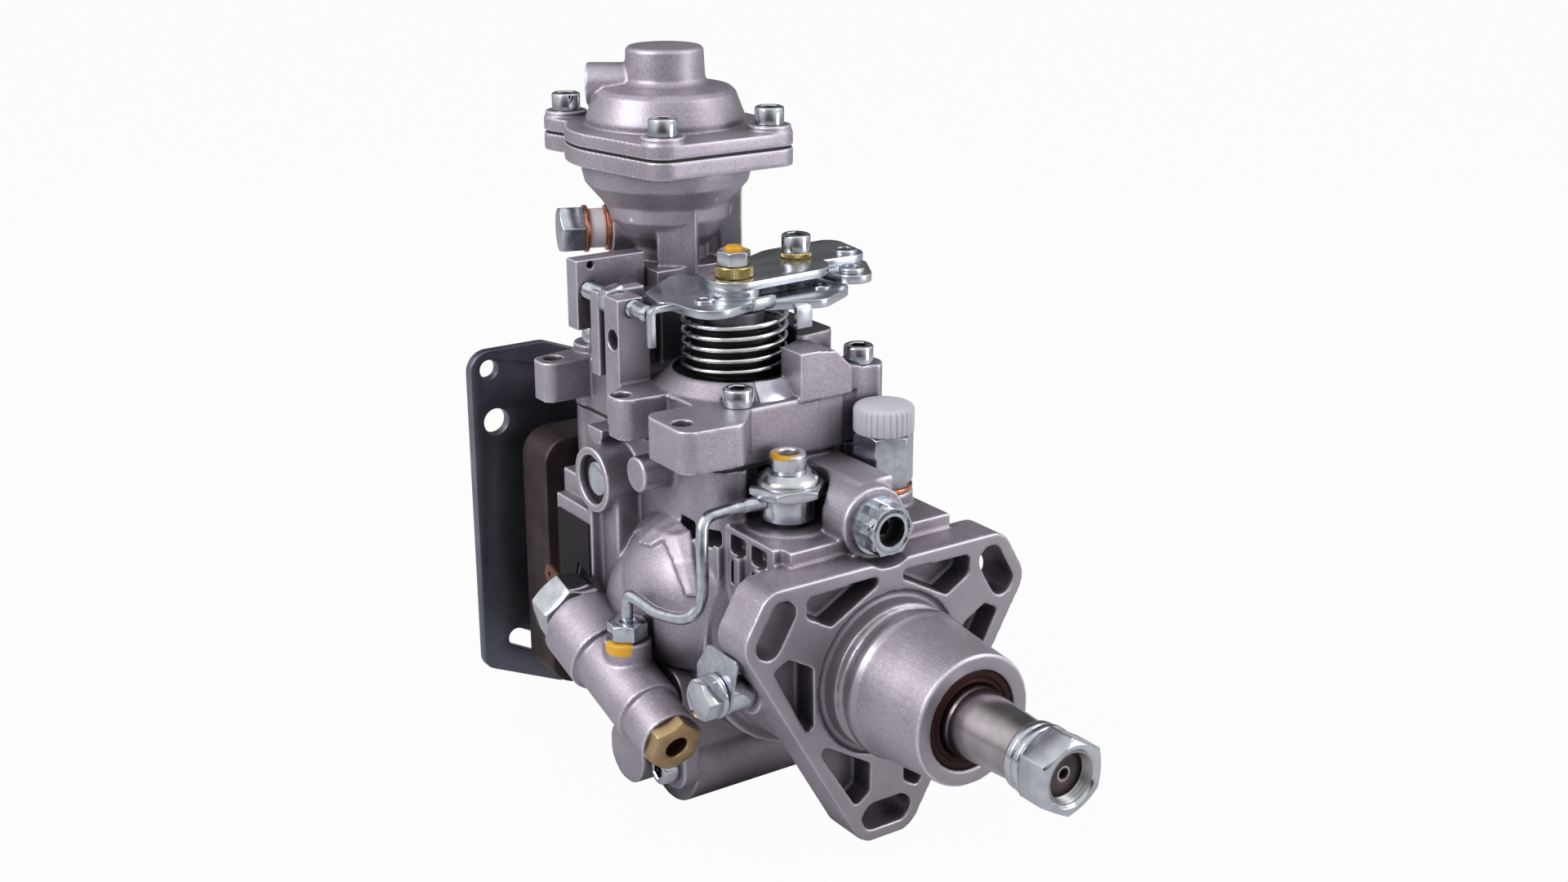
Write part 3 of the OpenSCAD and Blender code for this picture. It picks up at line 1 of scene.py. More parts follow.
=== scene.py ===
# %% [markdown]
# # A distributor injection pump, dressed for the camera
#
# The pump's solids come from the CAD model as a fixed frame. This lesson puts looks on that frame.
# Castings get soft edges and a blasted skin, and turned, bent and pressed pieces are made again with
# their real chamfers. Every piece rides on a CAD body, so the pump can be posed.

# %% Load the frame
import bmesh
import bpy
import json
import math
from mathutils import Matrix, Vector


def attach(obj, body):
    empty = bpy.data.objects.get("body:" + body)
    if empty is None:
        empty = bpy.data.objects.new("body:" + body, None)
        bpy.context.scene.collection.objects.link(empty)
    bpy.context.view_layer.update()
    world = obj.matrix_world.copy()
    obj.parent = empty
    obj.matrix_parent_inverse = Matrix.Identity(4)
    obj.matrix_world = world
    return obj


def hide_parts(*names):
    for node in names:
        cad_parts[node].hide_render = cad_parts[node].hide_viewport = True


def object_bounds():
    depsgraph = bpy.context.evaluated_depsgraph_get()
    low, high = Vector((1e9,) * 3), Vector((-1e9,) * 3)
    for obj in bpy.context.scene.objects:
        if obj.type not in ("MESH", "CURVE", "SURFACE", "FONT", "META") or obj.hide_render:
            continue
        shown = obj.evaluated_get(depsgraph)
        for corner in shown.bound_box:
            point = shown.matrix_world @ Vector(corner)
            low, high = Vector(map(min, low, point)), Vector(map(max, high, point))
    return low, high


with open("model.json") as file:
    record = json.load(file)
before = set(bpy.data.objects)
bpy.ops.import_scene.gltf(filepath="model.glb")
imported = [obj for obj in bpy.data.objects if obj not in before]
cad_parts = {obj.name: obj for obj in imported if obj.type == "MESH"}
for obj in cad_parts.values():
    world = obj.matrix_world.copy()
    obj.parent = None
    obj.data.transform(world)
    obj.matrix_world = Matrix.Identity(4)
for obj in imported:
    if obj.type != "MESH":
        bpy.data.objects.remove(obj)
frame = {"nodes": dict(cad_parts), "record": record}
cad_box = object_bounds()
bodies = frame["record"]["behaviour"]["bodies"]
body_of_node = {node: body for body, nodes in bodies.items() for node in nodes}
slot_of_node = {row["node"]: row["material_slot"] for row in frame["record"]["subparts"]}
print("CAD nodes:", len(body_of_node))

# %% [markdown]
# ## Sums written on sockets
#
# A material is a network of small sums. Written as plain Python they are easier to read than a list
# of links, so one small class wraps an output socket and turns +, -, * and / into Math nodes.


# %% Wrap a socket
class Wire:
    """One output of a node. A sum written on it adds a Math node."""

    def __init__(self, network, socket):
        self.network, self.socket = network, socket

    def sum(self, operation, *others):
        return self.network.node("Math", dict(operation=operation), [self, *others])

    def __add__(self, other):
        return self.sum("ADD", other)

    def __sub__(self, other):
        return self.sum("SUBTRACT", other)

    def __rsub__(self, other):
        return self.network.node("Math", dict(operation="SUBTRACT"), [other, self])

    def __mul__(self, other):
        return self.sum("MULTIPLY", other)

    __radd__, __rmul__ = __add__, __mul__

    def span(self, low, high, first, last, curve="LINEAR"):
        """From first at low to last at high."""
        ends = {"Value": self, "From Min": low, "From Max": high, "To Min": first, "To Max": last}
        return self.network.node("MapRange", dict(interpolation_type=curve), ends)

    def rise(self, low, high):
        """0 below low, 1 above high, smooth between."""
        return self.span(low, high, 0, 1, "SMOOTHSTEP")


class Network:
    """The nodes of one tree."""

    def __init__(self, tree):
        self.tree = tree

    def put(self, socket, value):
        if isinstance(value, Wire):
            self.tree.links.new(value.socket, socket)
        else:
            socket.default_value = value

    def node(self, kind, settings=None, sockets=(), out=0):
        made = self.tree.nodes.new("ShaderNode" + kind)
        for key, value in (settings or {}).items():
            setattr(made, key, value)
        named = sockets.items() if isinstance(sockets, dict) else enumerate(sockets)
        for key, value in named:
            self.put(made.inputs[key], value)
        return Wire(self, made.outputs[out])


# %% [markdown]
# ## A finish
#
# A finish is one material. All textures read the Object coordinates in millimetres: the meshes lie in
# the pump's own frame, so a grain of 0.4 mm is 0.4 mm everywhere, and it moves with its body.


# %% Make a finish
class Finish(Network):
    def __init__(self, name, colour, metallic, roughness):
        self.material = bpy.data.materials.new(name)
        self.material.use_nodes = True
        super().__init__(self.material.node_tree)
        self.shader = self.tree.nodes["Principled BSDF"]
        self.set("Base Color", (*colour, 1))
        self.set("Metallic", metallic)
        self.set("Roughness", roughness)
        self.points = None

    def set(self, name, value):
        self.put(self.shader.inputs[name], value)

    def millimetres(self, stretch=(1, 1, 1)):
        place = self.node("TexCoord", out="Object")
        scale = [1000 * s for s in stretch]
        return self.node("VectorMath", dict(operation="MULTIPLY"), [place, scale])

    def axes(self):
        if self.points is None:
            self.points = self.millimetres()
        return [self.node("SeparateXYZ", None, [self.points], out=i) for i in range(3)]

    def noise(self, size, detail=2, roughness=0.5, stretch=(1, 1, 1)):
        """Cloudy values round 0.5, with features about size mm across."""
        place = self.millimetres(stretch)
        sockets = dict(Vector=place, Scale=1 / size, Detail=detail, Roughness=roughness)
        return self.node("TexNoise", None, sockets)

    def blend(self, factor, first, second):
        """first where factor is 0, second where it is 1. Colours are tuples or wires."""
        first, second = (c if isinstance(c, Wire) else (*c, 1) for c in (first, second))
        settings = dict(data_type="RGBA", clamp_factor=True)
        return self.node("Mix", settings, {0: factor, 6: first, 7: second}, out=2)

    def pick(self, factor, first, second):
        """The same for plain numbers."""
        return factor * second + (1 - factor) * first

    def bump(self, height, depth, strength=1.0, under=None):
        """Raise the surface by height times depth mm."""
        sockets = dict(Height=height, Distance=depth / 1000, Strength=strength)
        if under is not None:
            sockets["Normal"] = under
        return self.node("Bump", None, sockets)

    def near(self, centre, radius, ragged, size=2.0):
        """1 inside a ball with a ragged rim."""
        ends = [self.millimetres(), centre]
        away = self.node("VectorMath", dict(operation="DISTANCE"), ends, out="Value")
        away = away + (self.noise(size, 3) - 0.5) * ragged
        return 1 - away.rise(radius - 0.25, radius + 0.25)


# %% [markdown]
# ## Cast aluminium
#
# The castings were blasted with fine beads: a lilac-grey skin with a grain of about half a
# millimetre and faint clouds. Over it lie brighter edges, partly wear and partly a painted
# highlight, and painted shade in corners and recesses. Pointiness finds edges and corners on the
# fine cast meshes, and an ambient occlusion reading finds the recesses. Some faces are turned or
# milled afterwards. Those keep a bright, smoother surface with tool marks, so a finish takes a mask
# function that says where they are.

# %% The casting finish
PAINT, PAINT_PALE = (0.72, 0.36, 0.015), (0.86, 0.50, 0.03)
SKIN, SKIN_PALE = (0.385, 0.345, 0.40), (0.49, 0.445, 0.505)
GRAIN_DARK, GRAIN_PALE = (0.19, 0.16, 0.20), (0.80, 0.76, 0.85)
TURNED_DARK, TURNED_PALE = (0.31, 0.28, 0.32), (0.45, 0.42, 0.46)
# The pale edge tone is partly wear and partly a painted highlight. The two darkest tones are painted shade
# for corners and recesses.
WORN_EDGE_AND_HIGHLIGHT, CORNER_SHADE, SHADED = (0.90, 0.87, 0.93), (0.07, 0.055, 0.065), (0.045, 0.036, 0.048)


def ring_marks(finish, pitch):
    """Turning marks: fine ripples along Y, the axis of every turned face that shows them."""
    return finish.noise(pitch, 3, 0.6, (0.02, 1, 0.02))


def casting_finish(name, machined=None, painted=None):
    finish = Finish(name, SKIN, 0.8, 0.42)
    clouds = finish.noise(17, 3)
    grain = finish.noise(0.55, 2, 0.6)
    speck = finish.noise(1.7, 2)
    colour = finish.blend(clouds.rise(0.3, 0.7), SKIN, SKIN_PALE)
    colour = finish.blend((1 - grain.rise(0.25, 0.52)) * 0.38, colour, GRAIN_DARK)
    colour = finish.blend(grain.rise(0.52, 0.74) * 0.40, colour, GRAIN_PALE)
    point = finish.node("NewGeometry", out="Pointiness")
    # Convex edges turn pale: partly wear, partly a painted highlight.
    colour = finish.blend(point.rise(0.510, 0.56) * 0.85, colour, WORN_EDGE_AND_HIGHLIGHT)
    # Concave corners turn dark: painted shade.
    colour = finish.blend((1 - point.rise(0.41, 0.488)) * 0.75, colour, CORNER_SHADE)
    # Where ambient occlusion finds little open sky, the colour darkens: painted shade in recesses and under
    # overhangs.
    reach = dict(Distance=0.022)
    open_sky = finish.node("AmbientOcclusion", dict(samples=4), reach, out="AO")
    colour = finish.blend((1 - open_sky.rise(0.25, 0.90)) * 0.75, colour, SHADED)
    rough = 0.36 + grain * 0.20
    metal = 0.74 + clouds * 0.12
    skin = finish.bump(grain, 0.05, 0.8)
    skin = finish.bump(speck, 0.10, 0.5, skin)
    skin = finish.bump(clouds, 0.6, 0.25, skin)
    if machined:
        cut = machined(finish)
        tool = ring_marks(finish, 0.35)
        colour = finish.blend(cut, colour, finish.blend(tool, TURNED_DARK, TURNED_PALE))
        rough = finish.pick(cut, rough, 0.30 + tool * 0.12)
        metal = finish.pick(cut, metal, 0.85)
        skins = {0: cut, 4: skin, 5: finish.bump(tool, 0.004)}
        skin = finish.node("Mix", dict(data_type="VECTOR"), skins, out=1)
    if painted:
        wet = painted(finish)
        colour = finish.blend(wet, colour, finish.blend(finish.noise(1.2), PAINT_PALE, PAINT))
        rough = finish.pick(wet, rough, 0.38)
        metal = finish.pick(wet, metal, 0.0)
    finish.set("Base Color", colour)
    finish.set("Roughness", rough)
    finish.set("Metallic", metal)
    finish.set("Normal", skin)
    return finish.material


def housing_cuts(finish):
    """The turned pilot, the nose's end and the milled flange face."""
    x, y, z = finish.axes()
    from_axis = (x * x + z * z).sum("SQRT")
    pilot = (1 - y.rise(-0.1, 0.1)) * y.rise(-14.3, -13.9)
    end = 1 - y.rise(-41.75, -41.65)
    face = (1 - y.rise(0.12, 0.3)) * from_axis.rise(25.2, 25.6) * 0.45
    return (pilot + end + face).sum("MINIMUM", 1)


CAST = casting_finish("cast_aluminium")
CAST_HOUSING = casting_finish("cast_aluminium_housing", machined=housing_cuts)
CAST_MARKED = casting_finish(
    "cast_aluminium_marked",
    painted=lambda f: f.near((-65.0, 61.5, 1.6), 5.2, 5.5, 1.7) * f.axes()[2].rise(-1.6, -0.8))
print("casting finishes ready")

# %% [markdown]
# ## Bright metals
#
# Plated hardware is almost a mirror with faint clouds in its plating, and ground steel has fine
# rings. One function covers both.


# %% The metal finishes
def metal_finish(name, low, high, roughness, cloud=5.0, turned=False, vary=0.07, painted=None, wear=0.0):
    finish = Finish(name, low, 1.0, roughness)
    clouds = finish.noise(cloud, 3)
    fine = finish.noise(0.6, 2)
    colour = finish.blend(clouds.rise(0.3, 0.7), low, high)
    rough = roughness + (clouds - 0.5) * vary + (fine - 0.5) * 0.04
    skin = finish.bump(fine, 0.005, 0.4)
    if turned:
        tool = ring_marks(finish, 0.3)
        rough = rough + (tool - 0.5) * 0.12
        skin = finish.bump(tool, 0.002, 0.8, skin)
    metal = 1.0
    if wear:
        spots = finish.noise(2.4, 4, 0.7).rise(0.60, 0.68) * wear
        colour = finish.blend(spots, colour, tuple(0.35 * c for c in low))
        rough = rough + spots * 0.3
    if painted:
        wet = painted(finish)
        colour = finish.blend(wet, colour, PAINT)
        rough = finish.pick(wet, rough, 0.4)
        metal = 1 - wet
    finish.set("Base Color", colour)
    finish.set("Roughness", rough)
    finish.set("Metallic", metal)
    finish.set("Normal", skin)
    return finish.material


ZINC = metal_finish(
    "bright_zinc", (0.44, 0.48, 0.54), (0.62, 0.64, 0.68), 0.22, cloud=3, vary=0.14, wear=0.25)
CHROME = metal_finish("bright_zinc_screws", (0.50, 0.52, 0.57), (0.64, 0.66, 0.70), 0.12)
LEVER = metal_finish("bright_zinc_plate", (0.50, 0.53, 0.58), (0.62, 0.64, 0.68), 0.28, cloud=14)
SPRING = metal_finish("spring_wire", (0.70, 0.72, 0.75), (0.84, 0.84, 0.84), 0.12)
VALVE = metal_finish(
    "bright_zinc_valve", (0.52, 0.55, 0.60), (0.68, 0.69, 0.70), 0.24,
    painted=lambda f: f.near((-18.2, 33.2, 68.0), 4.4, 3.0, 1.5) * f.axes()[2].rise(66.4, 66.8))
NUT = metal_finish(
    "bright_zinc_marked", (0.56, 0.59, 0.63), (0.70, 0.71, 0.73), 0.17,
    painted=lambda f: f.near((-9.2, 74.6, 126.6), 4.6, 2.6) * f.axes()[2].rise(124.7, 125.0))
SHAFT = metal_finish("ground_steel", (0.36, 0.33, 0.35), (0.46, 0.42, 0.45), 0.22, cloud=9, turned=True)
STEEL = metal_finish("plain_steel", (0.50, 0.50, 0.51), (0.60, 0.60, 0.61), 0.30)
DARK_STEEL = metal_finish("hardened_steel", (0.27, 0.27, 0.29), (0.38, 0.38, 0.39), 0.38)
BRONZE = metal_finish("sintered_bronze", (0.50, 0.38, 0.22), (0.62, 0.50, 0.32), 0.42)
BRASS = metal_finish("turned_brass", (0.40, 0.27, 0.14), (0.52, 0.37, 0.21), 0.34)
YELLOW = metal_finish("yellow_zinc", (0.30, 0.23, 0.10), (0.46, 0.37, 0.18), 0.34, cloud=2)
COPPER = metal_finish("plain_copper", (0.56, 0.22, 0.12), (0.72, 0.34, 0.22), 0.30, cloud=3)
BRACKET = metal_finish(
    "dark_plated_sheet", (0.16, 0.17, 0.21), (0.26, 0.27, 0.32), 0.38, cloud=30, wear=0.15)
HEAD = metal_finish("phosphated_steel", (0.075, 0.055, 0.055), (0.11, 0.085, 0.085), 0.52, cloud=12)

# %% [markdown]
# ## Rubber, plastic and the bare plate
#
# These don't conduct, so Metallic stays at 0. The darkest ones also get a lower specular level.


# %% The other finishes
def soft_finish(name, low, high, roughness, grain=0.8, depth=0.03, gloss=0.5):
    finish = Finish(name, low, 0.0, roughness)
    finish.set("Specular IOR Level", gloss)
    clouds = finish.noise(4, 3)
    fine = finish.noise(grain, 2)
    finish.set("Base Color", finish.blend(clouds, low, high))
    finish.set("Roughness", roughness + (clouds - 0.5) * 0.2)
    finish.set("Normal", finish.bump(fine, depth, 0.6))
    return finish.material


SEAL = soft_finish(
    "moulded_rubber_seal", (0.020, 0.005, 0.004), (0.036, 0.011, 0.008), 0.50, gloss=0.15)
GASKET = soft_finish("moulded_rubber", (0.010, 0.010, 0.011), (0.026, 0.026, 0.028), 0.55)
CAP = soft_finish("cap_plastic", (0.56, 0.54, 0.61), (0.64, 0.62, 0.69), 0.45)
SEAT = soft_finish("seat_plastic", (0.004, 0.004, 0.005), (0.010, 0.010, 0.011), 0.35, gloss=0.2)
# Near-black discs set in bores and sockets: painted shade.
RECESS_SHADE = soft_finish("painted_recess_shade", (0.004, 0.004, 0.004), (0.010, 0.009, 0.009), 0.70, gloss=0.1)
FOIL = soft_finish(
    "bare_plate", (0.010, 0.008, 0.010), (0.022, 0.018, 0.021), 0.50, 0.5, 0.012, gloss=0.15)
TAB = soft_finish("phenolic_terminal", (0.085, 0.022, 0.012), (0.15, 0.045, 0.025), 0.40)
PALE_RING = soft_finish("pale_ring", (0.72, 0.66, 0.68), (0.86, 0.80, 0.82), 0.30)

node_finish = dict(
    cast_aluminium=CAST, steel=STEEL, dark_steel=DARK_STEEL, zinc=ZINC,
    bearing_bronze=BRONZE, seal_rubber=SEAL, gasket=GASKET, head_casting=HEAD,
    brass=BRASS, copper=COPPER, cap_plastic=CAP, seat_plastic=SEAT,
    plate_foil=FOIL, bracket_paint=BRACKET)
for name, obj in frame["nodes"].items():
    obj.data.materials.clear()
    obj.data.materials.append(node_finish[slot_of_node[name]])
frame["nodes"]["drive_shaft"].data.materials[0] = SHAFT
print("materials:", len(bpy.data.materials))

# %% [markdown]
# ## Mesh helpers
#
# All shapes are written in millimetres in the pump's frame. `Shape` collects vertices and faces, so
# one piece can hold several closed bodies, and `settle` turns it into an object: it assigns the
# finish, rounds the sharp edges with a Bevel modifier, and ties the piece to its CAD body.

# %% Collect and settle shapes
MM = 0.001
HALF_SIDE = math.radians(30)


def named(name, verts, faces):
    mesh = bpy.data.meshes.new(name)
    mesh.from_pydata([Vector(v) * MM for v in verts], [], faces)
    obj = bpy.data.objects.new(name, mesh)
    bpy.context.scene.collection.objects.link(obj)
    return obj


def only_mesh(obj):
    """Bake an object's modifiers into a plain mesh."""
    shaped = bpy.data.meshes.new_from_object(obj.evaluated_get(bpy.context.evaluated_depsgraph_get()))
    obj.modifiers.clear()
    old = obj.data
    obj.data = shaped
    bpy.data.meshes.remove(old)


def face_outward(mesh):
    work = bmesh.new()
    work.from_mesh(mesh)
    bmesh.ops.recalc_face_normals(work, faces=work.faces)
    work.to_mesh(mesh)
    work.free()


def smooth(obj, angle=35):
    obj.data.shade_smooth()
    obj.data.set_sharp_from_angle(angle=math.radians(angle))


def settle(obj, node, finish, rounding=0.2, stands_for=(), angle=32):
    obj.data.materials.clear()
    obj.data.materials.append(finish)
    face_outward(obj.data)
    if rounding:
        bevel = obj.modifiers.new("rounded edges", "BEVEL")
        bevel.width, bevel.segments = rounding * MM, 2
        bevel.angle_limit = math.radians(angle)
        bevel.limit_method = "ANGLE"
        bevel.use_clamp_overlap = True
        bevel.harden_normals = False
        only_mesh(obj)
    smooth(obj)
    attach(obj, body_of_node[node])
    for other in stands_for:
        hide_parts(other)


def turns(steps):
    """Equal angles round a full turn."""
    return [math.tau * k / steps for k in range(steps)]


def circle(r, height, steps):
    return [(r * math.cos(t), r * math.sin(t), height) for t in turns(steps)]


class Shape:
    """Closed bodies in mm, each given in its own frame and placed by a matrix."""

    def __init__(self, place=None):
        self.verts, self.faces = [], []
        self.place = place or Matrix.Identity(4)

    def add(self, verts, faces):
        base = len(self.verts)
        self.verts += [self.place @ Vector(v) for v in verts]
        self.faces += [[base + i for i in face] for face in faces]

    def rings(self, rows, closed=False):
        """Skin rows of points. Each row is a closed loop of the same length."""
        n, faces = len(rows[0]), []
        for i in range(len(rows) if closed else len(rows) - 1):
            j = (i + 1) % len(rows)
            for k in range(n):
                m = (k + 1) % n
                faces.append([i * n + k, i * n + m, j * n + m, j * n + k])
        if not closed:
            faces.append(list(range(n))[::-1])
            faces.append([(len(rows) - 1) * n + k for k in range(n)])
        self.add([p for row in rows for p in row], faces)

    def lathe(self, profile, steps=64, closed=True):
        """Turn (radius, height) points round the local Z axis. A closed profile makes a ring."""
        self.rings([circle(r, h, steps) for r, h in profile], closed)

    def hexagon(self, across, low, high, bore=0.0, lead=0.5, turn=0.0, shrink=0.955, chamfer=(1, 1)):
        """A hexagon with turned chamfers, and a bore with a small lead-in if bore is above 0."""
        flat, steps = across / 2, 96
        slope = math.tan(math.radians(27))
        crown = flat * shrink

        def row(height, limit=None, cut=None):
            points = []
            for t in turns(steps):
                reach = flat / math.cos((t + HALF_SIDE) % (2 * HALF_SIDE) - HALF_SIDE)
                r = reach if limit is None else min(reach, limit)
                drop = 0 if cut is None else max(0.0, reach - crown) * slope * cut
                points.append((r * math.cos(t + turn), r * math.sin(t + turn), height - drop))
            return points

        rows = []
        if bore:
            rows += [row(low + lead, bore), row(low, bore + lead)]
        rows += [row(low, crown), row(low, None, -1)] if chamfer[0] else [row(low)]
        rows += [row(high, None, 1), row(high, crown)] if chamfer[1] else [row(high)]
        if bore:
            rows += [row(high, bore + lead), row(high - lead, bore)]
        self.rings(rows, closed=bool(bore))

    def sweep(self, path, radius, sides=20):
        """A round bar along a path of points."""
        path = [Vector(p) for p in path]
        rows, side = [], None
        for i, p in enumerate(path):
            ahead = (path[min(i + 1, len(path) - 1)] - path[max(i - 1, 0)]).normalized()
            side = side or ahead.orthogonal().normalized()
            side = (side - ahead * side.dot(ahead)).normalized()
            up = ahead.cross(side)
            r = radius(i / (len(path) - 1)) if callable(radius) else radius
            rows.append([p + r * (math.cos(t) * side + math.sin(t) * up) for t in turns(sides)])
        self.rings(rows)

    def block(self, x0, x1, y0, y1, z0, z1):
        loop = ((x0, y0), (x1, y0), (x1, y1), (x0, y1))
        self.rings([[(x, y, z) for x, y in loop] for z in (z0, z1)])

    def make(self, name):
        return named(name, self.verts, self.faces)

    def dress(self, name, *looks):
        settle(self.make(name), *looks)


def at(x, y, z, turn_x=0.0, turn_y=0.0, turn_z=0.0):
    """A place in mm, turned about X, then Y, then Z, in degrees."""
    turn = Matrix.Rotation(math.radians(turn_z), 4, "Z") @ Matrix.Rotation(math.radians(turn_y), 4, "Y")
    return Matrix.Translation((x, y, z)) @ turn @ Matrix.Rotation(math.radians(turn_x), 4, "X")


ALONG_Y = -90
FORWARD = 90
SIDEWAYS = Matrix(((0, 0, 1, 0), (1, 0, 0, 0), (0, 1, 0, 0), (0, 0, 0, 1)))
STANDING = Matrix(((1, 0, 0, 0), (0, 0, -1, 0), (0, 1, 0, 0), (0, 0, 0, 1)))


def around(discs, step=10):
    """The outline round discs given counter-clockwise as (x, y, radius)."""
    count, normals, loop = len(discs), [], []
    for i in range(count):
        (ax, ay, ar), (bx, by, br) = discs[i], discs[(i + 1) % count]
        d = math.hypot(bx - ax, by - ay)
        ux, uy, s = (bx - ax) / d, (by - ay) / d, (ar - br) / d
        c = math.sqrt(1 - s * s)
        normals.append(math.atan2(uy * s - ux * c, ux * s + uy * c))
    for i, (x, y, r) in enumerate(discs):
        start, end = normals[i - 1], normals[i]
        sweep = (end - start) % math.tau
        n = max(2, int(math.degrees(sweep) / step) + 1)
        for k in range(n + 1):
            t = start + sweep * k / n
            loop.append((x + r * math.cos(t), y + r * math.sin(t)))
    return loop


def disc(x, y, r, steps=40):
    return [(x + r * math.cos(t), y + r * math.sin(t)) for t in turns(steps)]


def sheet_plate(name, outer, holes, low, high, rounding, place=None):
    """A flat plate with holes and rounded edges, made by filling a plane curve."""
    curve = bpy.data.curves.new(name, "CURVE")
    curve.dimensions, curve.fill_mode = "2D", "BOTH"
    for loop in [outer, *holes]:
        spline = curve.splines.new("POLY")
        spline.points.add(len(loop) - 1)
        for point, (x, y) in zip(spline.points, loop):
            point.co = (x * MM, y * MM, 0, 1)
        spline.use_cyclic_u = True
    curve.extrude = ((high - low) / 2 - rounding) * MM
    curve.bevel_depth, curve.bevel_resolution, curve.offset = rounding * MM, 2, -rounding * MM
    drawn = bpy.data.objects.new(name + "_drawn", curve)
    bpy.context.scene.collection.objects.link(drawn)
    mesh = bpy.data.meshes.new_from_object(drawn.evaluated_get(bpy.context.evaluated_depsgraph_get()))
    bpy.data.objects.remove(drawn)
    bpy.data.curves.remove(curve)
    turn = place or Matrix.Identity(4)
    shift = Matrix.Translation(Vector((0, 0, (low + high) / 2 * MM)))
    mesh.transform(Matrix.Translation(turn.translation * MM) @ turn.to_3x3().to_4x4() @ shift)
    weld = bmesh.new()
    weld.from_mesh(mesh)
    bmesh.ops.remove_doubles(weld, verts=weld.verts, dist=1e-6)
    weld.to_mesh(mesh)
    weld.free()
    obj = bpy.data.objects.new(name, mesh)
    bpy.context.scene.collection.objects.link(obj)
    return obj


print("helpers ready")

# %% [markdown]
# ## Camera, light and floor
#
# The photograph was taken from the front left and a little above. The camera below was solved from
# measured features of the pump, so its place is known in the pump's own frame. The room is plain:
# a white world, three soft lamps, and a pale floor. Mirrored rays find the world darker along one
# line through the room and near the floor, which gives the plated parts a studio's dark streaks.

# %% The camera
camera = bpy.data.objects.new("camera", bpy.data.cameras.new("camera"))
bpy.context.scene.collection.objects.link(camera)
bpy.context.scene.camera = camera
AZIMUTH, ELEVATION = math.radians(-34.417), math.radians(18.586)
STAND = (-351.55, -453.49, 270.45)
FOCAL_PX, WIDTH_PX, SENSOR = 2413.23, 1920, 36
back = Vector((
    math.sin(AZIMUTH) * math.cos(ELEVATION),
    -math.cos(AZIMUTH) * math.cos(ELEVATION),
    math.sin(ELEVATION)))
across = Vector((math.cos(AZIMUTH), math.sin(AZIMUTH), 0))
facing = Matrix((across, back.cross(across), back)).transposed().to_4x4()
camera.matrix_world = Matrix.Translation(Vector(STAND) * MM) @ facing
camera.data.sensor_width = SENSOR
camera.data.lens = FOCAL_PX / WIDTH_PX * SENSOR
camera.data.clip_start, camera.data.clip_end = 0.01, 20

# %% The light
DARK_WAY = (-0.53, -0.76, -0.38)
world = bpy.data.worlds.new("studio")
bpy.context.scene.world = world
world.use_nodes = True
world.node_tree.nodes.clear()
room = Network(world.node_tree)
way = room.node("TexCoord", out="Generated")
height = room.node("SeparateXYZ", None, [way], out="Z")
ends = [way, Vector(DARK_WAY).normalized()]
toward = room.node("VectorMath", dict(operation="DOT_PRODUCT"), ends, out="Value")
streaks = toward.sum("ABSOLUTE").span(0.50, 0.92, 1.0, 0.14, "SMOOTHSTEP")
low_dark = height.span(-0.15, 0.30, 0.30, 1.0)
sky = height.span(-0.25, 0.75, 0.06, 0.68)


def background(colour, strength):
    return room.node("Background", None, dict(Color=(*colour, 1), Strength=strength))


def if_ray(kind, plain, special):
    factor = room.node("LightPath", out=kind)
    return room.node("MixShader", None, [factor, plain, special])


lit = background((0.97, 0.97, 1.0), sky)
shiny = background((1, 1, 1), streaks * low_dark)
seen = background((1, 1, 1), 1.0)
chosen = if_ray("Is Camera Ray", if_ray("Is Glossy Ray", lit, shiny), seen)
room.put(world.node_tree.nodes.new("ShaderNodeOutputWorld").inputs["Surface"], chosen)


def lamp(name, place, aim, size, power):
    light = bpy.data.lights.new(name, "AREA")
    light.shape, light.size, light.energy = "SQUARE", size, power
    obj = bpy.data.objects.new(name, light)
    obj.location = place
    obj.rotation_euler = (Vector(aim) - Vector(place)).to_track_quat("-Z", "Y").to_euler()
    bpy.context.scene.collection.objects.link(obj)


MIDDLE, LOW_FRONT = (0, 0.05, 0.04), (0, 0, 0.02)
lamp("key", (-0.85, 0.10, 0.70), MIDDLE, 0.55, 6.0)
lamp("fill", (0.65, -0.60, 0.80), MIDDLE, 0.5, 2.8)
lamp("front", (0.70, -0.85, 0.12), LOW_FRONT, 0.45, 2.4)
bpy.context.scene.view_settings.view_transform = "Standard"

# %% The floor
FLOOR, WHITE_SHARE = 4000, 0.965
low = cad_box[0][2]
corners = [(-FLOOR, -FLOOR, 0), (FLOOR, -FLOOR, 0), (FLOOR, FLOOR, 0), (-FLOOR, FLOOR, 0)]
floor = named("floor", corners, [[0, 1, 2, 3]])
floor.location.z = low
pale = Finish("pale_floor", (0.62, 0.62, 0.63), 0.0, 0.85)
glow = pale.node("Emission", None, dict(Color=(1, 1, 1, 1), Strength=1.0))
seen_share = pale.node("LightPath", out="Is Camera Ray") * WHITE_SHARE
surface = Wire(pale, pale.shader.outputs[0])
shown = pale.node("MixShader", None, [seen_share, surface, glow])
pale.put(pale.tree.nodes["Material Output"].inputs["Surface"], shown)
floor.data.materials.append(pale.material)
print("floor at", round(low, 4))

# %% [markdown]
# ## The castings
#
# A casting has no sharp inner corners: metal flows round a radius everywhere. Each casting starts as
# a copy of its CAD solid, with small cast details pushed into it. A voxel remesh fuses them into one
# skin, and a few rounds of smoothing turn every edge into a radius of about a millimetre.


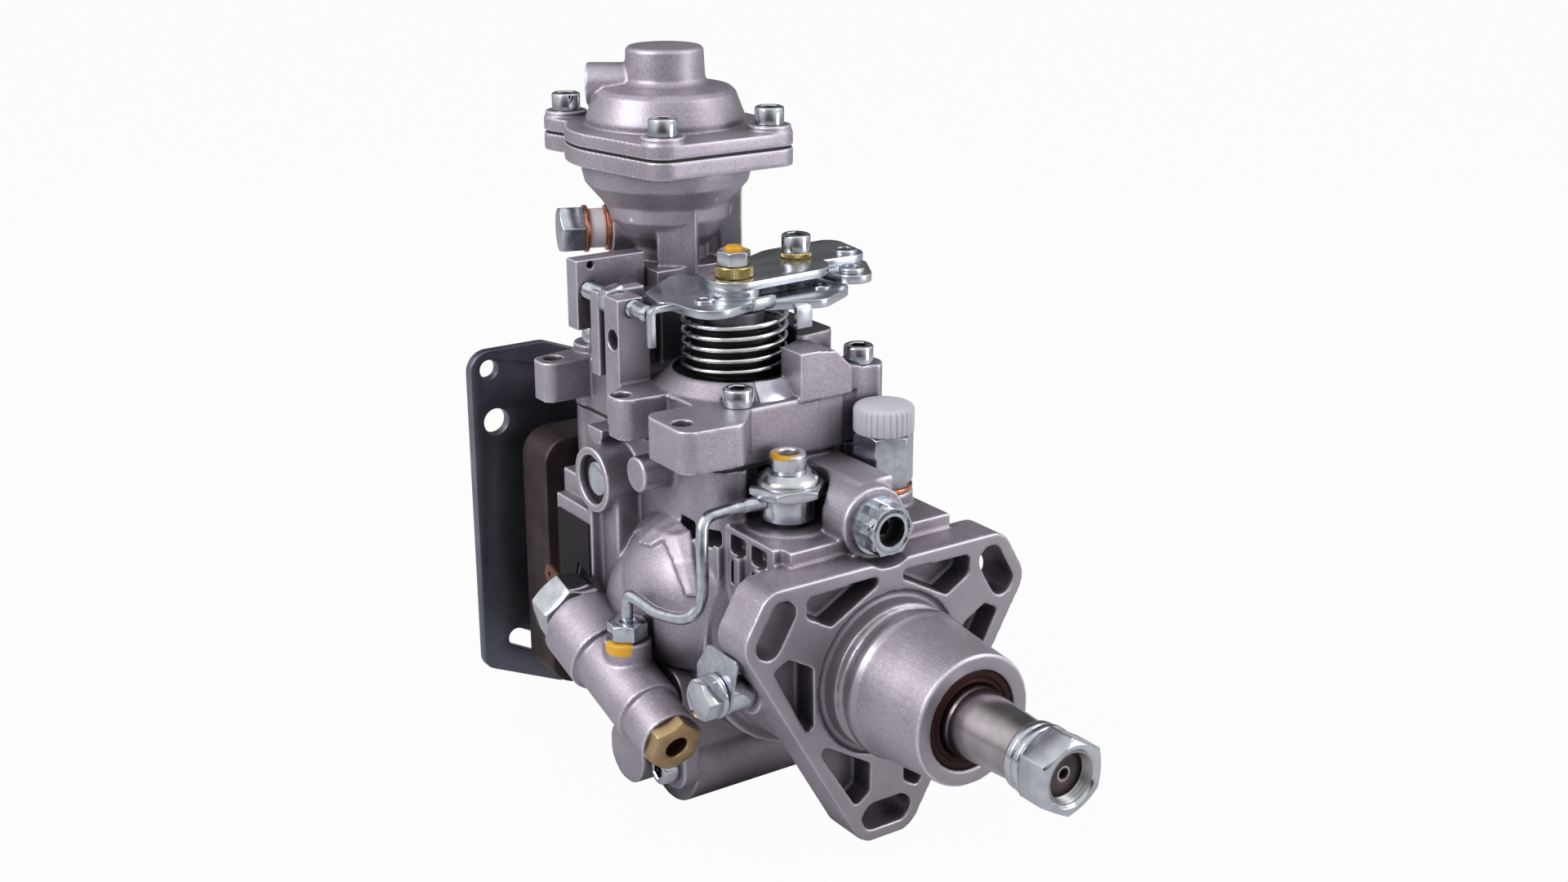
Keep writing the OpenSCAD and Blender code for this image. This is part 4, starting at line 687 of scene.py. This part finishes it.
# %% Make a casting
def casting(name, node, details=None, voxel=0.6, rounds=5, finish=CAST):
    copy = bpy.data.objects.new(name, frame["nodes"][node].data.copy())
    bpy.context.scene.collection.objects.link(copy)
    join = bmesh.new()
    join.from_mesh(copy.data)
    if details is not None:
        extra = details.make(name + "_details")
        bmesh.ops.recalc_face_normals(join, faces=join.faces)
        face_outward(extra.data)
        join.from_mesh(extra.data)
        bpy.data.objects.remove(extra)
    bmesh.ops.remove_doubles(join, verts=join.verts, dist=1e-6)
    join.to_mesh(copy.data)
    join.free()
    remesh = copy.modifiers.new("one skin", "REMESH")
    remesh.mode, remesh.voxel_size = "VOXEL", voxel * MM
    relax = copy.modifiers.new("cast radius", "SMOOTH")
    relax.factor, relax.iterations = 0.5, rounds
    only_mesh(copy)
    copy.data.materials.clear()
    copy.data.materials.append(finish)
    copy.data.shade_smooth()
    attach(copy, body_of_node[node])
    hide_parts(node)
    print(name, len(copy.data.polygons), "faces")


# %% Cast details of the housing
DOME, DOME_R = Vector((-19, 71, 9)), 34.2
SWELL, SWELL_R = (-24, 79.8, 2.2), 30
step_edge = [(87.5, 28), (81.5, 31.6), (76.5, 29.2), (69.7, 30.3), (66.4, 33.0), (58.3, 28.3), (50.6, 19.4)]
far_edge = [(82, 40), (76, 39.5), (71, 38.5), (66, 38), (60, 36.5), (53, 29.5), (47.5, 19.5)]


def on_dome(y, z, lift):
    """The dome's skin at (y, z) on its left side, raised by lift."""
    y, z = y - DOME.y, z - DOME.z
    left = math.sqrt(max(DOME_R ** 2 - y ** 2 - z ** 2, 0))
    return DOME + Vector((-left, y, z)).normalized() * (DOME_R + lift)


patch = []
for near, far in zip(step_edge, far_edge):
    mid = tuple((a + b) / 2 for a, b in zip(near, far))
    patch.append([on_dome(*place, lift) for place, lift in (
        (near, -2), (near, 1.3), (mid, 1.5), (far, 1.2), (far, -3), (mid, -3))])
details = Shape()
details.rings(patch)
arc = [math.pi * (k / 24 - 0.5) for k in range(1, 24)]
details.place = at(*SWELL)
details.lathe([(SWELL_R * math.cos(t), SWELL_R * math.sin(t)) for t in arc], 96, False)
details.place = at(0, 0, 0)
for y in (22, 34, 46):
    details.block(-36, -30, y - 1.5, y + 1.5, 20, 36)
details.block(-2.5, 11, 14, 44.5, 50, 60.5)
details.block(-6.0, 0, 20, 44.5, 44, 53.4)
casting("pump_housing_cast", "pump_housing", details, 0.6, 5, CAST_HOUSING)

# %% The other castings
COLUMN_Y = 132
cover = Shape()
cover.block(2.4, 12, 42.8, 46.8, 62.2, 82)
cover.block(11, 18, 45.5, 50.1, 62.2, 82)
cover.block(17.4, 23.8, 45.5, 53.4, 62.2, 82)
cover.place = at(0, COLUMN_Y, 0, turn_z=-34.4)
cover.block(-2.6, 11, -20.3, -4, 108, 131)
cover.place = at(0, COLUMN_Y, 0, turn_z=-31)
cover.block(8, 20, -3.5, 2.5, 103, 130)
casting("governor_cover_cast", "governor_cover", cover, 0.5, 5)
casting("boost_cap_cast", "boost_cap", None, 0.5, 6)
casting("cold_start_body_cast", "cold_start_body", None, 0.5, 8, CAST_MARKED)
casting("timing_cover_cast", "timing_cover", None, 0.5, 4)
casting("distributor_head_cast", "distributor_head", None, 0.7, 4, HEAD)

# %% [markdown]
# ## The drive end
#
# The nut on the taper is the brightest thing in the picture. Its chamfers come from turning, so the
# `hexagon` helper drops each corner by its distance outside a circle. Two washers sit behind it, and
# its bore shows a dark thread.

# %% The shaft nut and its washers
NUT_Y = -74.7
nut_place = at(0, NUT_Y, 0, FORWARD)
nut = Shape(nut_place)
nut.hexagon(22, 0.1, 11.5, 7.9, 1.3)
nut.lathe([(7.2, -0.2), (10.6, -0.2), (10.6, 1.5), (7.2, 1.5)])
nut.dress("shaft_nut_hexagon", "shaft_nut", CHROME, 0.18, ["shaft_nut"])
rings = Shape(nut_place)
for low_end, high_end, r in ((-3.3, -0.2, 11.4), (-6.9, -3.5, 11.0)):
    middle = (low_end + high_end) / 2
    rings.lathe([
        (7.4, low_end), (r - 0.6, low_end), (r, middle - 0.9), (r, middle + 0.9), (r - 0.6, high_end),
        (7.4, high_end)])
rings.dress("shaft_lock_washers", "shaft_nut", CHROME, 0.25)
thread = Shape(nut_place)
NUT_PITCH = 1.35
profile = [(8.4, 0.4)]
for k in range(7):
    h = 1.2 + k * NUT_PITCH
    profile += [(7.9, h), (7.25, h + 0.67)]
profile += [(7.9, 10.7), (8.4, 10.7)]
thread.lathe(profile)
thread.dress("shaft_nut_thread", "shaft_nut", DARK_STEEL, 0)
centre = Shape(at(0, -82.2, 0, FORWARD))
centre.lathe([(1.6, -3), (1.6, -0.4), (2.6, 0.06), (6.9, 0.06), (6.9, -0.3), (6.9, -3)])
centre.dress("shaft_end_face", "drive_shaft", HEAD, 0.1)
print("drive end made")

# %% The seal in the nose
seal = Shape(at(0, -41.8, 0, ALONG_Y))
seal.lathe([
    (11.7, 1.6), (12.6, 0.7), (13.1, 1.3), (13.6, 1.3), (14.0, 0.8), (15.7, 0.8), (16.15, 1.2), (16.15, 7),
    (11.7, 7)])
seal.dress("shaft_seal_moulded", "shaft_seal", SEAL, 0.12, ["shaft_seal"])

# %% The governor shaft's lock nut
lock_place = at(0, 9, 48, FORWARD)
lock = Shape(lock_place)
lock.hexagon(15, 2.0, 9, 5.2, 0.7, turn=0.15, chamfer=(0, 1))
lock.lathe([(5.2, 0), (9.5, 0), (9.6, 0.6), (9.0, 1.7), (7.4, 2.3), (5.2, 2.3)])
lock.dress("governor_lock_nut", "governor_shaft", CHROME, 0.2)
# A near-black disc fills the shaft's socket: painted shade.
socket = Shape(lock_place)
socket.lathe([(0.2, -2), (0.2, 1.0), (4.3, 1.0), (4.5, 7.6), (5.15, 7.6), (5.15, -2)])
socket.dress("governor_shaft_socket", "governor_shaft", RECESS_SHADE, 0)

# %% [markdown]
# ## Deck fittings
#
# The pressure valve is a turned stack: a body, a hexagon, a pressed sleeve and a small neck with a
# dab of yellow paint. Beside it stands the inlet union, closed by a knurled cap.

# %% The pressure valve
valve_place = at(-16, 34, 44.5)
valve = Shape(valve_place)
valve.lathe([(3.2, 0.2), (4.4, -9), (4.45, 0.9), (8.4, 1.35), (8.8, 1.8), (8.8, 9.5), (3.2, 9.5)])
valve.hexagon(22.4, 9.6, 13.3, 3.2, 0.2, turn=math.radians(12), shrink=0.985)
valve.lathe([
    (3.2, 13.2), (10.2, 13.2), (10.3, 13.6), (9.9, 15.0), (9.3, 15.7), (8.2, 16.5), (7.4, 17.2), (3.2, 17.2)])
valve.lathe([(3.2, 17.0), (6.0, 17.0), (6.0, 22.7), (5.5, 23.3), (4.0, 23.4), (3.4, 22.8), (3.2, 18)])
valve.dress("pressure_valve_turned", "pressure_valve", VALVE, 0.22, ["pressure_valve"], 30)
# A near-black disc in the valve's bore: painted shade.
dark = Shape(valve_place)
dark.lathe([(0.6, 17.5), (3.3, 17.5), (3.3, 19.4), (0.6, 19.2)])
dark.dress("pressure_valve_bore", "pressure_valve", RECESS_SHADE, 0)

# %% The inlet union and its cap
inlet = Shape(at(22, 34, 50.1))
inlet.hexagon(18, 0, 17.9, 3.4, 0.3, turn=math.radians(10), shrink=0.985)
inlet.lathe([(3.4, 17.8), (8.6, 17.8), (8.6, 23), (3.4, 23)])
inlet.lathe([(3.4, -11), (4.95, -11), (4.95, 0.2), (3.4, 0.2)])
inlet.dress("inlet_union_hexagon", "inlet_union", ZINC, 0.3, ["inlet_union"])
cap = Shape(at(22, 34, 73.15))
RIBS = 30
rows = []
for r, h, rib in ((8.9, -5.0, 0.3), (9.5, -5.0, 0.5), (9.75, -4.6, 0.55), (9.75, 2.6, 0.55), (9.45, 3.4, 0.3),
                  (8.9, 3.85, 0.05), (8.2, 4.0, 0), (0.4, 3.9, 0)):
    row = []
    for t in turns(RIBS * 10):
        reach = r + rib * (abs(math.cos(RIBS * t / 2)) ** 0.6 - 0.4)
        row.append((reach * math.cos(t), reach * math.sin(t), h))
    rows.append(row)
cap.rings(rows)
cap.dress("inlet_cap_knurled", "inlet_cap", CAP, 0, ["inlet_cap"])

# %% Copper washers
return_place = at(-11.5, 137.5, 121.5, 0, -90, -20)
for name, place, rings_of in (
        ("inlet_copper_washer", at(22, 34, 48.5), ((5, 9.8, 0, 1.6),)),
        ("return_copper_washers", return_place, ((5, 8, 8.1, 9.6), (5, 8.2, 15.7, 17.2)))):
    washer = Shape(place)
    for inner, outer, low_end, high_end in rings_of:
        washer.lathe([(inner, low_end), (outer, low_end), (outer, high_end), (inner, high_end)])
    washer.dress(name, "seal_washers", COPPER, 0.3, ["seal_washers"])

# %% The return union
union = Shape(return_place)
union.hexagon(15, 17.3, 25.8, turn=0.2, chamfer=(0, 1))
union.lathe([(0.3, 2), (3.9, 2), (3.9, 18), (0.3, 18)])
union.dress("return_union_bolt", "return_union", ZINC, 0.25, ["return_union"])
eye = Shape(return_place)
eye.lathe([(5, 9.7), (6.4, 9.7), (6.9, 10.3), (6.9, 15.0), (6.4, 15.6), (5, 15.6)])
eye.dress("return_union_eye", "return_union", PALE_RING, 0.2)
print("deck fittings made")

# %% [markdown]
# ## The cold-start device
#
# Its casting is already made. Screwed into it are a wax heater with a big hexagon, a brass plug and
# the steel pipe from the pressure valve. The pipe's centreline runs straight between the points of
# the CAD model's route, with a rounded bend at each one.

# %% The heater and the brass plug
cold = at(-59, 74, -11.3, -72)
heater = Shape(cold)
heater.lathe([(5.9, 19.3), (8.9, 19.3), (8.9, 24.6), (9.8, 24.7), (9.8, 27.6), (5.9, 27.6)])
heater.hexagon(21, 27.5, 39.4, turn=math.radians(44), shrink=0.93)
heater.lathe([(0.3, 39), (8.0, 39), (8.0, 41.2), (7.2, 42), (0.3, 42)])
heater.dress("cold_start_heater_body", "cold_start_heater", CHROME, 0.3, ["cold_start_heater"])
stud = Shape(cold)
stud.lathe([(0.3, 41.5), (2.6, 41.5), (2.6, 45.2), (1.8, 46.4), (0.3, 46.6)])
stud.dress("cold_start_heater_stud", "cold_start_heater", ZINC, 0.2)
blade = [(-8, 41.6), (-1.2, 41.6), (-1.2, 48.2), (-2.6, 50.4), (-6.6, 50.4), (-8, 48.2)]
hole = disc(-4.6, 47, 0.9, 20)
tab = sheet_plate("cold_start_terminal", blade, [hole], -0.5, 0.5, 0.12, cold @ SIDEWAYS)
settle(tab, "cold_start_heater", TAB, 0)
plug_place = cold @ at(0, 0, -42)
plug = Shape(plug_place)
plug.hexagon(17, 0, 4.9, 3.8, 0.5, turn=math.radians(8), shrink=0.97, chamfer=(1, 0))
plug.lathe([(3.8, 4.2), (7.5, 4.2), (7.5, 9.8), (3.8, 9.8)])
plug.dress("brass_plug_hexagon", "brass_plug", BRASS, 0.2, ["brass_plug"])
# A near-black disc in the plug's bore: painted shade.
dark = Shape(plug_place)
dark.lathe([(0.2, 6.2), (3.9, 6.2), (3.9, 8), (0.2, 8)])
dark.dress("brass_plug_bore", "brass_plug", RECESS_SHADE, 0)

# %% The steel pipe
route = [(-24.6, 35.4, 52), (-36, 37, 51.8), (-46, 38, 50.5), (-48, 35, 40), (-49, 33, 24), (-53, 36, 18),
         (-56, 50, 16), (-57, 60, 17.5), (-58, 66, 18), (-58, 66, 2.6)]
CUT, ARC, PIPE_R, FLARE = 0.42, 12, 2.0, 0.55
line = []
for i, p in enumerate(route):
    p = Vector(p)
    if i in (0, len(route) - 1):
        line.append(p)
        continue
    a, b = p + CUT * (Vector(route[i - 1]) - p), p + CUT * (Vector(route[i + 1]) - p)
    for k in range(ARC + 1):
        t = k / ARC
        line.append((1 - t) ** 2 * a + 2 * t * (1 - t) * p + t * t * b)
pipe = Shape()
pipe.sweep(line, lambda t: PIPE_R + FLARE * max(0.0, 1 - t * 40), 24)
pipe.dress("cold_start_pipe_bent", "cold_start_pipe", ZINC, 0, ["cold_start_pipe"])
pipe_nut = Shape(at(-58, 66, 2.5))
pipe_nut.hexagon(12, 0, 6, 2.05, 0.9, turn=math.radians(48), shrink=0.93)
pipe_nut.dress("cold_start_pipe_nut", "cold_start_pipe", ZINC, 0.18)
print("pipe", len(line), "points")

# %% The shaft's lock bolt
bolt = Shape(at(-44.1, 17, 0, 0, -90))
bolt.lathe([(4.05, 0), (6.4, 0), (6.6, 0.3), (6.6, 8.6), (6.2, 8.9), (4.05, 8.9)])
bolt.lathe([(4.05, 10), (6.8, 10), (7.2, 10.4), (7.2, 11.5), (6.6, 11.9), (4.05, 11.9)])
bolt.hexagon(12, 11.8, 17.9, turn=0.1, chamfer=(0, 1))
bolt.lathe([(0.3, -31), (4, -31), (4, 12), (0.3, 12)])
bolt.dress("lock_bolt_head", "lock_bolt", CHROME, 0.25, ["lock_bolt"])
washer_corners = [(17, 0, 7), (27.5, 1.5, 2), (28, 5.5, 1.5), (22, 13.5, 1.5), (8, 13.5, 1.5)]
slotted = sheet_plate(
    "lock_bolt_washer", around(washer_corners), [disc(17, 0, 4.1)], -54, -53.1, 0.15, SIDEWAYS)
settle(slotted, "lock_bolt", ZINC, 0)

# %% [markdown]
# ## The control lever
#
# Two pressed plates clamp together on the lever's shaft, with a column between them. A filled plane
# curve is the quickest way to a plate: it takes holes, and its bevel rounds the edges.

# %% The plates
LEVER_X, LEVER_Y = -10, 74
PLATE, PLATE_TOP, TIER, UPPER, UPPER_TOP = 107, 110, 110.2, 113, 116
CLAMP, END_HOLE, RIVETS = (23, 86), (40.2, 81.5), ((-22.7, 72.1), (19.4, 66.2))
hub = (LEVER_X, LEVER_Y, 12)
hub_hole = disc(LEVER_X, LEVER_Y, 4)
clamp_hole, end_hole = disc(*CLAMP, 3), disc(*END_HOLE, 2.6)
lever_slot = around([(2, 82, 1.6), (8, 86, 1.6)])


def lever_plate(name, node, discs, holes, low, high, stands_for=()):
    plate = sheet_plate(name, around(discs), holes, low, high, 0.35)
    settle(plate, node, LEVER, 0, stands_for)


# Parts of one plate overlap, so each is 0.02 thinner on both faces than the one before it.
lever_plate(
    "lever_plate_lower_right", "lever_plate_lower", [(11, 59, 6.5), (21, 66.5, 8), (14, 92, 6), hub],
    [hub_hole, disc(*RIVETS[1], 2), lever_slot], PLATE, PLATE_TOP, ["lever_plate_lower"])
lever_plate(
    "lever_plate_lower_left", "lever_plate_lower", [hub, (-28, 79, 5), (-23, 67, 8.5)],
    [hub_hole, disc(*RIVETS[0], 2)], PLATE + 0.02, PLATE_TOP - 0.02)
lever_plate(
    "lever_plate_lower_back", "lever_plate_lower", [hub, (-12, 103, 5), (-29, 91, 4), (-32.1, 80, 3.3)],
    [hub_hole], PLATE + 0.04, PLATE_TOP - 0.04)
lever_plate(
    "lever_plate_upper_front", "lever_plate_upper", [(LEVER_X, LEVER_Y, 9.5), (17, 77, 11), (20, 94.5, 5.5)],
    [hub_hole, clamp_hole], UPPER, UPPER_TOP, ["lever_plate_upper"])
lever_plate(
    "lever_plate_upper_right", "lever_plate_upper",
    [(*CLAMP, 9), (40.5, 83, 7), (44, 96.5, 5.5), (22, 95, 5.5)],
    [clamp_hole, end_hole], UPPER + 0.02, UPPER_TOP - 0.02)
lever_plate(
    "lever_plate_upper_tier", "lever_plate_upper", [(30, 79, 5), (33, 67, 6.5), (41, 78, 5)],
    [end_hole], TIER, UPPER + 0.1)


def bent_strip(name, centre, width_way, width, thick):
    """A flat strip bent along a centreline of points: width one way, thickness across the bend."""
    side = Vector(width_way).normalized() * width / 2
    rows = []
    line = [Vector(p) for p in centre]
    for i, p in enumerate(line):
        ahead = (line[min(i + 1, len(line) - 1)] - line[max(i - 1, 0)]).normalized()
        lift = ahead.cross(side).normalized() * thick / 2
        rows.append([p - side - lift, p + side - lift, p + side + lift, p - side + lift])
    strip = Shape()
    strip.rings(rows)
    strip.dress(name, "lever_plate_lower", LEVER, 0.35)


def quarter(radius):
    """Steps of a quarter bend: how far out, and how far still to rise or fall."""
    angles = [math.radians(9 * k) for k in range(11)]
    return [(radius * math.sin(t), radius * math.cos(t)) for t in angles]


tongue = [(-30, 76.7, 108.6), (-37.4, 76.7, 108.6)]
tongue += [(-38.2 - out, 76.7, 106.6 + rise) for out, rise in quarter(2.0)]
tongue += [(-40.2, 76.7, 101), (-40.2, 76.7, 96)]
bent_strip("lever_plate_tongue", tongue, (0, 1, 0), 2.6, 2.4)
hook = [(4, 60, 108.5), (4, 57, 108.5)]
hook += [(4, 56.4 - out, 106.5 + rise) for out, rise in quarter(2.0)]
hook += [(4, 54.4, 104), (4, 54.4, 101)]
bent_strip("lever_plate_hook", hook, (1, 0, 0), 6, 2.2)
flange = [(-9, 61.5, 108.5), (-9, 59.8, 108.5)]
flange += [(-9, 59.4 - out, 110.1 - rise) for out, rise in quarter(1.6)]
flange += [(-9, 57.8, 112.4)]
bent_strip("lever_plate_flange", flange, (1, 0.12, 0), 9, 1.8)
column = Shape()
for x, y, r, inner in ((LEVER_X, LEVER_Y, 9, 4), (*CLAMP, 6.5, 3)):
    column.place = at(x, y, 0)
    column.lathe([(inner, PLATE_TOP), (r, PLATE_TOP), (r, UPPER + 0.2), (inner, UPPER + 0.2)])
for x, y, z in ((*END_HOLE, 0), (33, 67.5, -2.6)):
    column.place = at(x, y, z)
    column.lathe([(2.6, UPPER_TOP - 0.2), (4.4, UPPER_TOP - 0.2), (4.4, 117.0), (4.0, 117.5), (2.6, 117.5)])
column.dress("lever_plate_columns", "lever_plate_upper", LEVER, 0.25)

# %% The lever's shaft and fasteners
lever_axis = at(LEVER_X, LEVER_Y, 0)
shaft = Shape(lever_axis)
shaft.lathe([
    (0.2, 70), (8, 70), (8, 74), (5, 74), (5, PLATE), (4, PLATE), (4, 116.2), (3, 116.2), (3, 125.8),
    (2.4, 126.4), (0.2, 126.4)], closed=False)
shaft.dress("lever_shaft_turned", "lever_shaft", NUT, 0.12, ["lever_shaft"])
eccentric = Shape(at(-3, 78, 0))
eccentric.lathe([(0.2, 68.5), (2, 68.5), (2, 72), (0.2, 72)], closed=False)
eccentric.dress("lever_shaft_eccentric", "lever_shaft", STEEL, 0.2)


def knurled(shape, inner, outer, low_end, high_end, teeth, depth=0.28, edge=0.5):
    rows = []
    for r, h, cut in ((inner, low_end, 0), (outer - edge, low_end, 0), (outer, low_end + edge, depth),
                      (outer, high_end - edge, depth), (outer - edge, high_end, 0), (inner, high_end, 0)):
        reach = (r, r - cut)
        rows.append([(reach[k % 2] * math.cos(t), reach[k % 2] * math.sin(t), h)
                     for k, t in enumerate(turns(2 * teeth))])
    shape.rings(rows, closed=True)


washers = Shape(lever_axis)
knurled(washers, 3.05, 6.4, 116.2, 120, 44)
washers.place = at(*CLAMP, 0)
knurled(washers, 3.05, 5.4, 116, 118, 40)
washers.dress("lever_yellow_washers", "lever_fasteners", YELLOW, 0, ["lever_fasteners"])
nut = Shape(lever_axis)
nut.hexagon(10, 120, 125, 3.0, 0.35, turn=0.25)
nut.dress("lever_nut", "lever_fasteners", NUT, 0.15)
rivets = Shape()
for x, y in RIVETS:
    rivets.place = at(x, y, PLATE)
    rivets.lathe([
        (0.2, 0.1), (2, 0.1), (2, 2.8), (3.6, 3), (3.5, 3.5), (2.6, 3.9), (1.7, 3.9), (1.2, 3.4),
        (0.2, 3.4)], 40, False)
rivets.dress("lever_rivets", "lever_fasteners", CHROME, 0.1)


# %% [markdown]
# ## Socket screws
#
# Eleven cap screws hold the pump together, and one more clamps the lever. They are alike, so one
# function makes them: a turned head with a rounded rim, a hexagon socket and a plain shank.


# %% Socket screws
def socket_screw(shape, place, length, r=3):
    head, top, flat, steps = 5 * r / 3, 2 * r, 5 * r / 6, 48
    shape.place = place

    def six(height, grow=0.0):
        row = []
        for t in turns(steps):
            reach = (flat + grow) / math.cos(t % (2 * HALF_SIDE) - HALF_SIDE)
            row.append((reach * math.cos(t), reach * math.sin(t), height))
        return row

    turned = [(0.1, -length), (r - 0.4, -length), (r, 0.4 - length), (r, 0), (head - 0.25, 0), (head, 0.25),
              (head, top - 0.7), (head - 0.25, top - 0.25), (head - 0.75, top)]
    recess = [six(top, 0.35), six(top - 0.35), six(r), circle(0.1, r - 0.5, steps)]
    shape.rings([circle(radius, h, steps) for radius, h in turned] + recess)


COVER_SCREWS = ((-25, 49, 81), (24, 51, 87), (-30, 132, 84), (24, 132, 84))
DECK_FLOOR = 49.2
placed = [(at(x, y, z), z - DECK_FLOOR, 20) for x, y, z in COVER_SCREWS]
placed += [(at(21 * a, COLUMN_Y + 33 * b, 159.7), 13.7, 10) for a in (-1, 1) for b in (-1, 1)]
placed += [(at(-46, 59, -45.5, 0, -90), 6, 0)]
placed += [(at(46, 70 + 16 * a, -47 - 4 * a, 0, 90), 6, 0) for a in (-1, 1)]
# Each screw's socket gets a near-black disc at its floor: painted shade.
screws, sockets = Shape(), Shape()
for place, length, turn in placed:
    socket_screw(screws, place @ at(0, 0, 0, turn_z=turn), length)
    sockets.place = place
    sockets.lathe([(0.2, 3.0), (2.45, 3.0), (2.45, 3.25), (0.2, 3.25)], 24)
clamp = Shape()
socket_screw(clamp, at(*CLAMP, 118), 8)
screws.dress("socket_screws_set", "socket_screws", CHROME, 0, ["socket_screws"])
clamp.dress("lever_clamp_screw", "lever_fasteners", CHROME, 0)
sockets.dress("socket_screw_recesses", "socket_screws", RECESS_SHADE, 0)
print("screws made")

# %% [markdown]
# ## The return spring and its seat
#
# The spring is a round wire swept along a helix, from the black seat up to the lever's plate. The
# seat stands on a turned cone of the cover, whose bright band shows at the front.

# %% The spring
TURNS, STEPS, WIRE = 5.5, 72, 0.8
BOTTOM, RISE, COIL_R = 85.9, 20.2, 18 - WIRE
helix = []
for k in range(int(TURNS * STEPS) + 1):
    t = math.tau * k / STEPS
    climb = BOTTOM + RISE * k / (TURNS * STEPS)
    helix.append((LEVER_X + COIL_R * math.cos(t), LEVER_Y + COIL_R * math.sin(t), climb))
coil = Shape()
coil.sweep(helix, WIRE, 16)
coil.dress("return_spring_wire", "return_spring", SPRING, 0, ["return_spring"])
seat = Shape(lever_axis)
seat.lathe([
    (10, 83.05), (18.7, 83.05), (19, 83.4), (19, 84.6), (18.6, 85.0), (14.9, 85.0), (14.6, 85.4),
    (14.6, 100.6), (14.2, 101), (10, 101)])
seat.dress("spring_seat_moulded", "spring_seat", SEAT, 0.15, ["spring_seat"])

# %% The turned band under the seat
band = Shape(lever_axis)
section = ((20, 80.5), (28.5, 80.5), (22.2, 86.3), (20, 86.3))
angles = [math.radians(a) for a in range(-106, -77, 2)]
band.rings([[(r * math.cos(t), r * math.sin(t), h) for r, h in section] for t in angles])
band.dress("cover_turned_band", "governor_cover", VALVE, 0.2)

# %% The speed screw
screw = Shape(at(-40, 78.3, 106.5, ALONG_Y))
profile = [(0.2, 0), (1.9, 0), (2.5, 0.7), (2.9, 1.2), (2.9, 7.0)]
for k in range(41):
    profile += [(3.0, 7.6 + k), (2.55, 8.1 + k)]
profile += [(3.0, 49.2), (2.4, 49.7), (0.2, 49.7)]
screw.lathe(profile, 32, False)
screw.dress("speed_screw_threaded", "speed_screw", ZINC, 0, ["speed_screw"])
nut = Shape(at(-40, 98, 106.5, ALONG_Y))
nut.hexagon(10, 0, 5, 3.0, 0.35, turn=0.3)
nut.dress("speed_screw_nut", "speed_screw", ZINC, 0.15)

# %% [markdown]
# ## Plug, plate and bracket
#
# The core plug is a thin domed disc in a ring of dark sealant. The name plate stays bare. The rear
# bracket is a sheet with two holes and a slot, standing on four posts.

# %% The core plug
plug_place = at(-45.6, 102.5, 45, 0, -90)
plug = Shape(plug_place)
plug.lathe([(0.2, -2.4), (6.2, -2.4), (6.2, 2.0), (5.8, 2.5), (4, 3.0), (0.2, 3.2)], closed=False)
plug.dress("core_plug_disc", "core_plug", CHROME, 0.15, ["core_plug"])
sealant = Shape(plug_place)
sealant.lathe([(6.0, -2), (8.5, -2), (8.5, 2.0), (7.4, 2.2), (6.0, 1.6)])
sealant.dress("core_plug_sealant", "core_plug", SEAT, 0)
print("plug made")

# %% The rear bracket
HEAD_BACK = 158


def four_round(r):
    """Four (x, z) places on the diagonals round the drive's axis."""
    angles = [math.radians(a) for a in (45, 135, 225, 315)]
    return [(r * math.sin(t), r * math.cos(t)) for t in angles]


edge = [(-55, -44, 6), (-28, -56, 6), (40, -40, 8), (40, 40, 8), (-32, 67, 8), (-53, 67, 8)]
slot = around([(-47, -39, 3.5), (-28, -49, 3.5)])
holes = [disc(0, 0, 32, 96), disc(-53.5, 68, 3.5), disc(-51.5, 48, 4.8), slot]
bracket = sheet_plate("rear_bracket_sheet", around(edge), holes, -174, -170, 0.5, STANDING)
settle(bracket, "rear_bracket", BRACKET, 0, ["rear_bracket"])
posts = Shape()
for x, z in four_round(35.6):
    posts.place = at(x, HEAD_BACK, z, ALONG_Y)
    posts.lathe([(0.2, 0), (3.4, 0), (3.4, 12.5), (0.2, 12.5)], 40, False)
posts.dress("rear_bracket_posts", "rear_bracket", ZINC, 0.2)

# %% [markdown]
# ## The rear fittings
#
# Four delivery valve holders and the shut-off solenoid stand on the distributor head. The same
# helpers make them.

# %% Holders and solenoid
holders = Shape()
for x, z in four_round(21):
    holders.place = at(x, HEAD_BACK, z, ALONG_Y)
    holders.hexagon(17, 1, 9, 5.9, 0.1)
    profile = [(1.2, -7.8), (6.9, -7.8), (6.9, 1.2), (6.0, 1.2), (6.0, 9.8)]
    for k in range(11):
        profile += [(6.0, 10.2 + 1.2 * k), (5.5, 10.8 + 1.2 * k)]
    profile += [(5.9, 23.4), (5.3, 24), (4.0, 24), (1.2, 21)]
    holders.lathe(profile, 40)
holders.dress("delivery_holders_turned", "delivery_holders", ZINC, 0.12, ["delivery_holders"])
solenoid = Shape(at(0, 150.5, 39))
solenoid.lathe([(4.1, -13), (5.95, -13), (5.95, 3.2), (4.1, 3.2)])
solenoid.hexagon(19, 3, 9, 4.1, 0.3)
solenoid.lathe([
    (0.2, 12.2), (4.1, 12.2), (4.1, 8.8), (9.3, 8.8), (9.3, 22.8), (8.2, 24), (5.5, 24.2),
    (0.2, 24.2)], closed=False)
solenoid.lathe([(0.2, 23.9), (2.5, 23.9), (2.5, 30.4), (1.9, 31), (0.2, 31)], 32, False)
solenoid.dress("shutoff_solenoid_case", "shutoff_solenoid", ZINC, 0.2, ["shutoff_solenoid"])

# %% [markdown]
# ## Finish
#
# The CAD parts that still show get smooth shading, with sharp edges above 30 degrees. The dressed
# pump has to stay inside the CAD model's box.

# %% Finish
for name, obj in frame["nodes"].items():
    if not obj.hide_render:
        smooth(obj, 30)
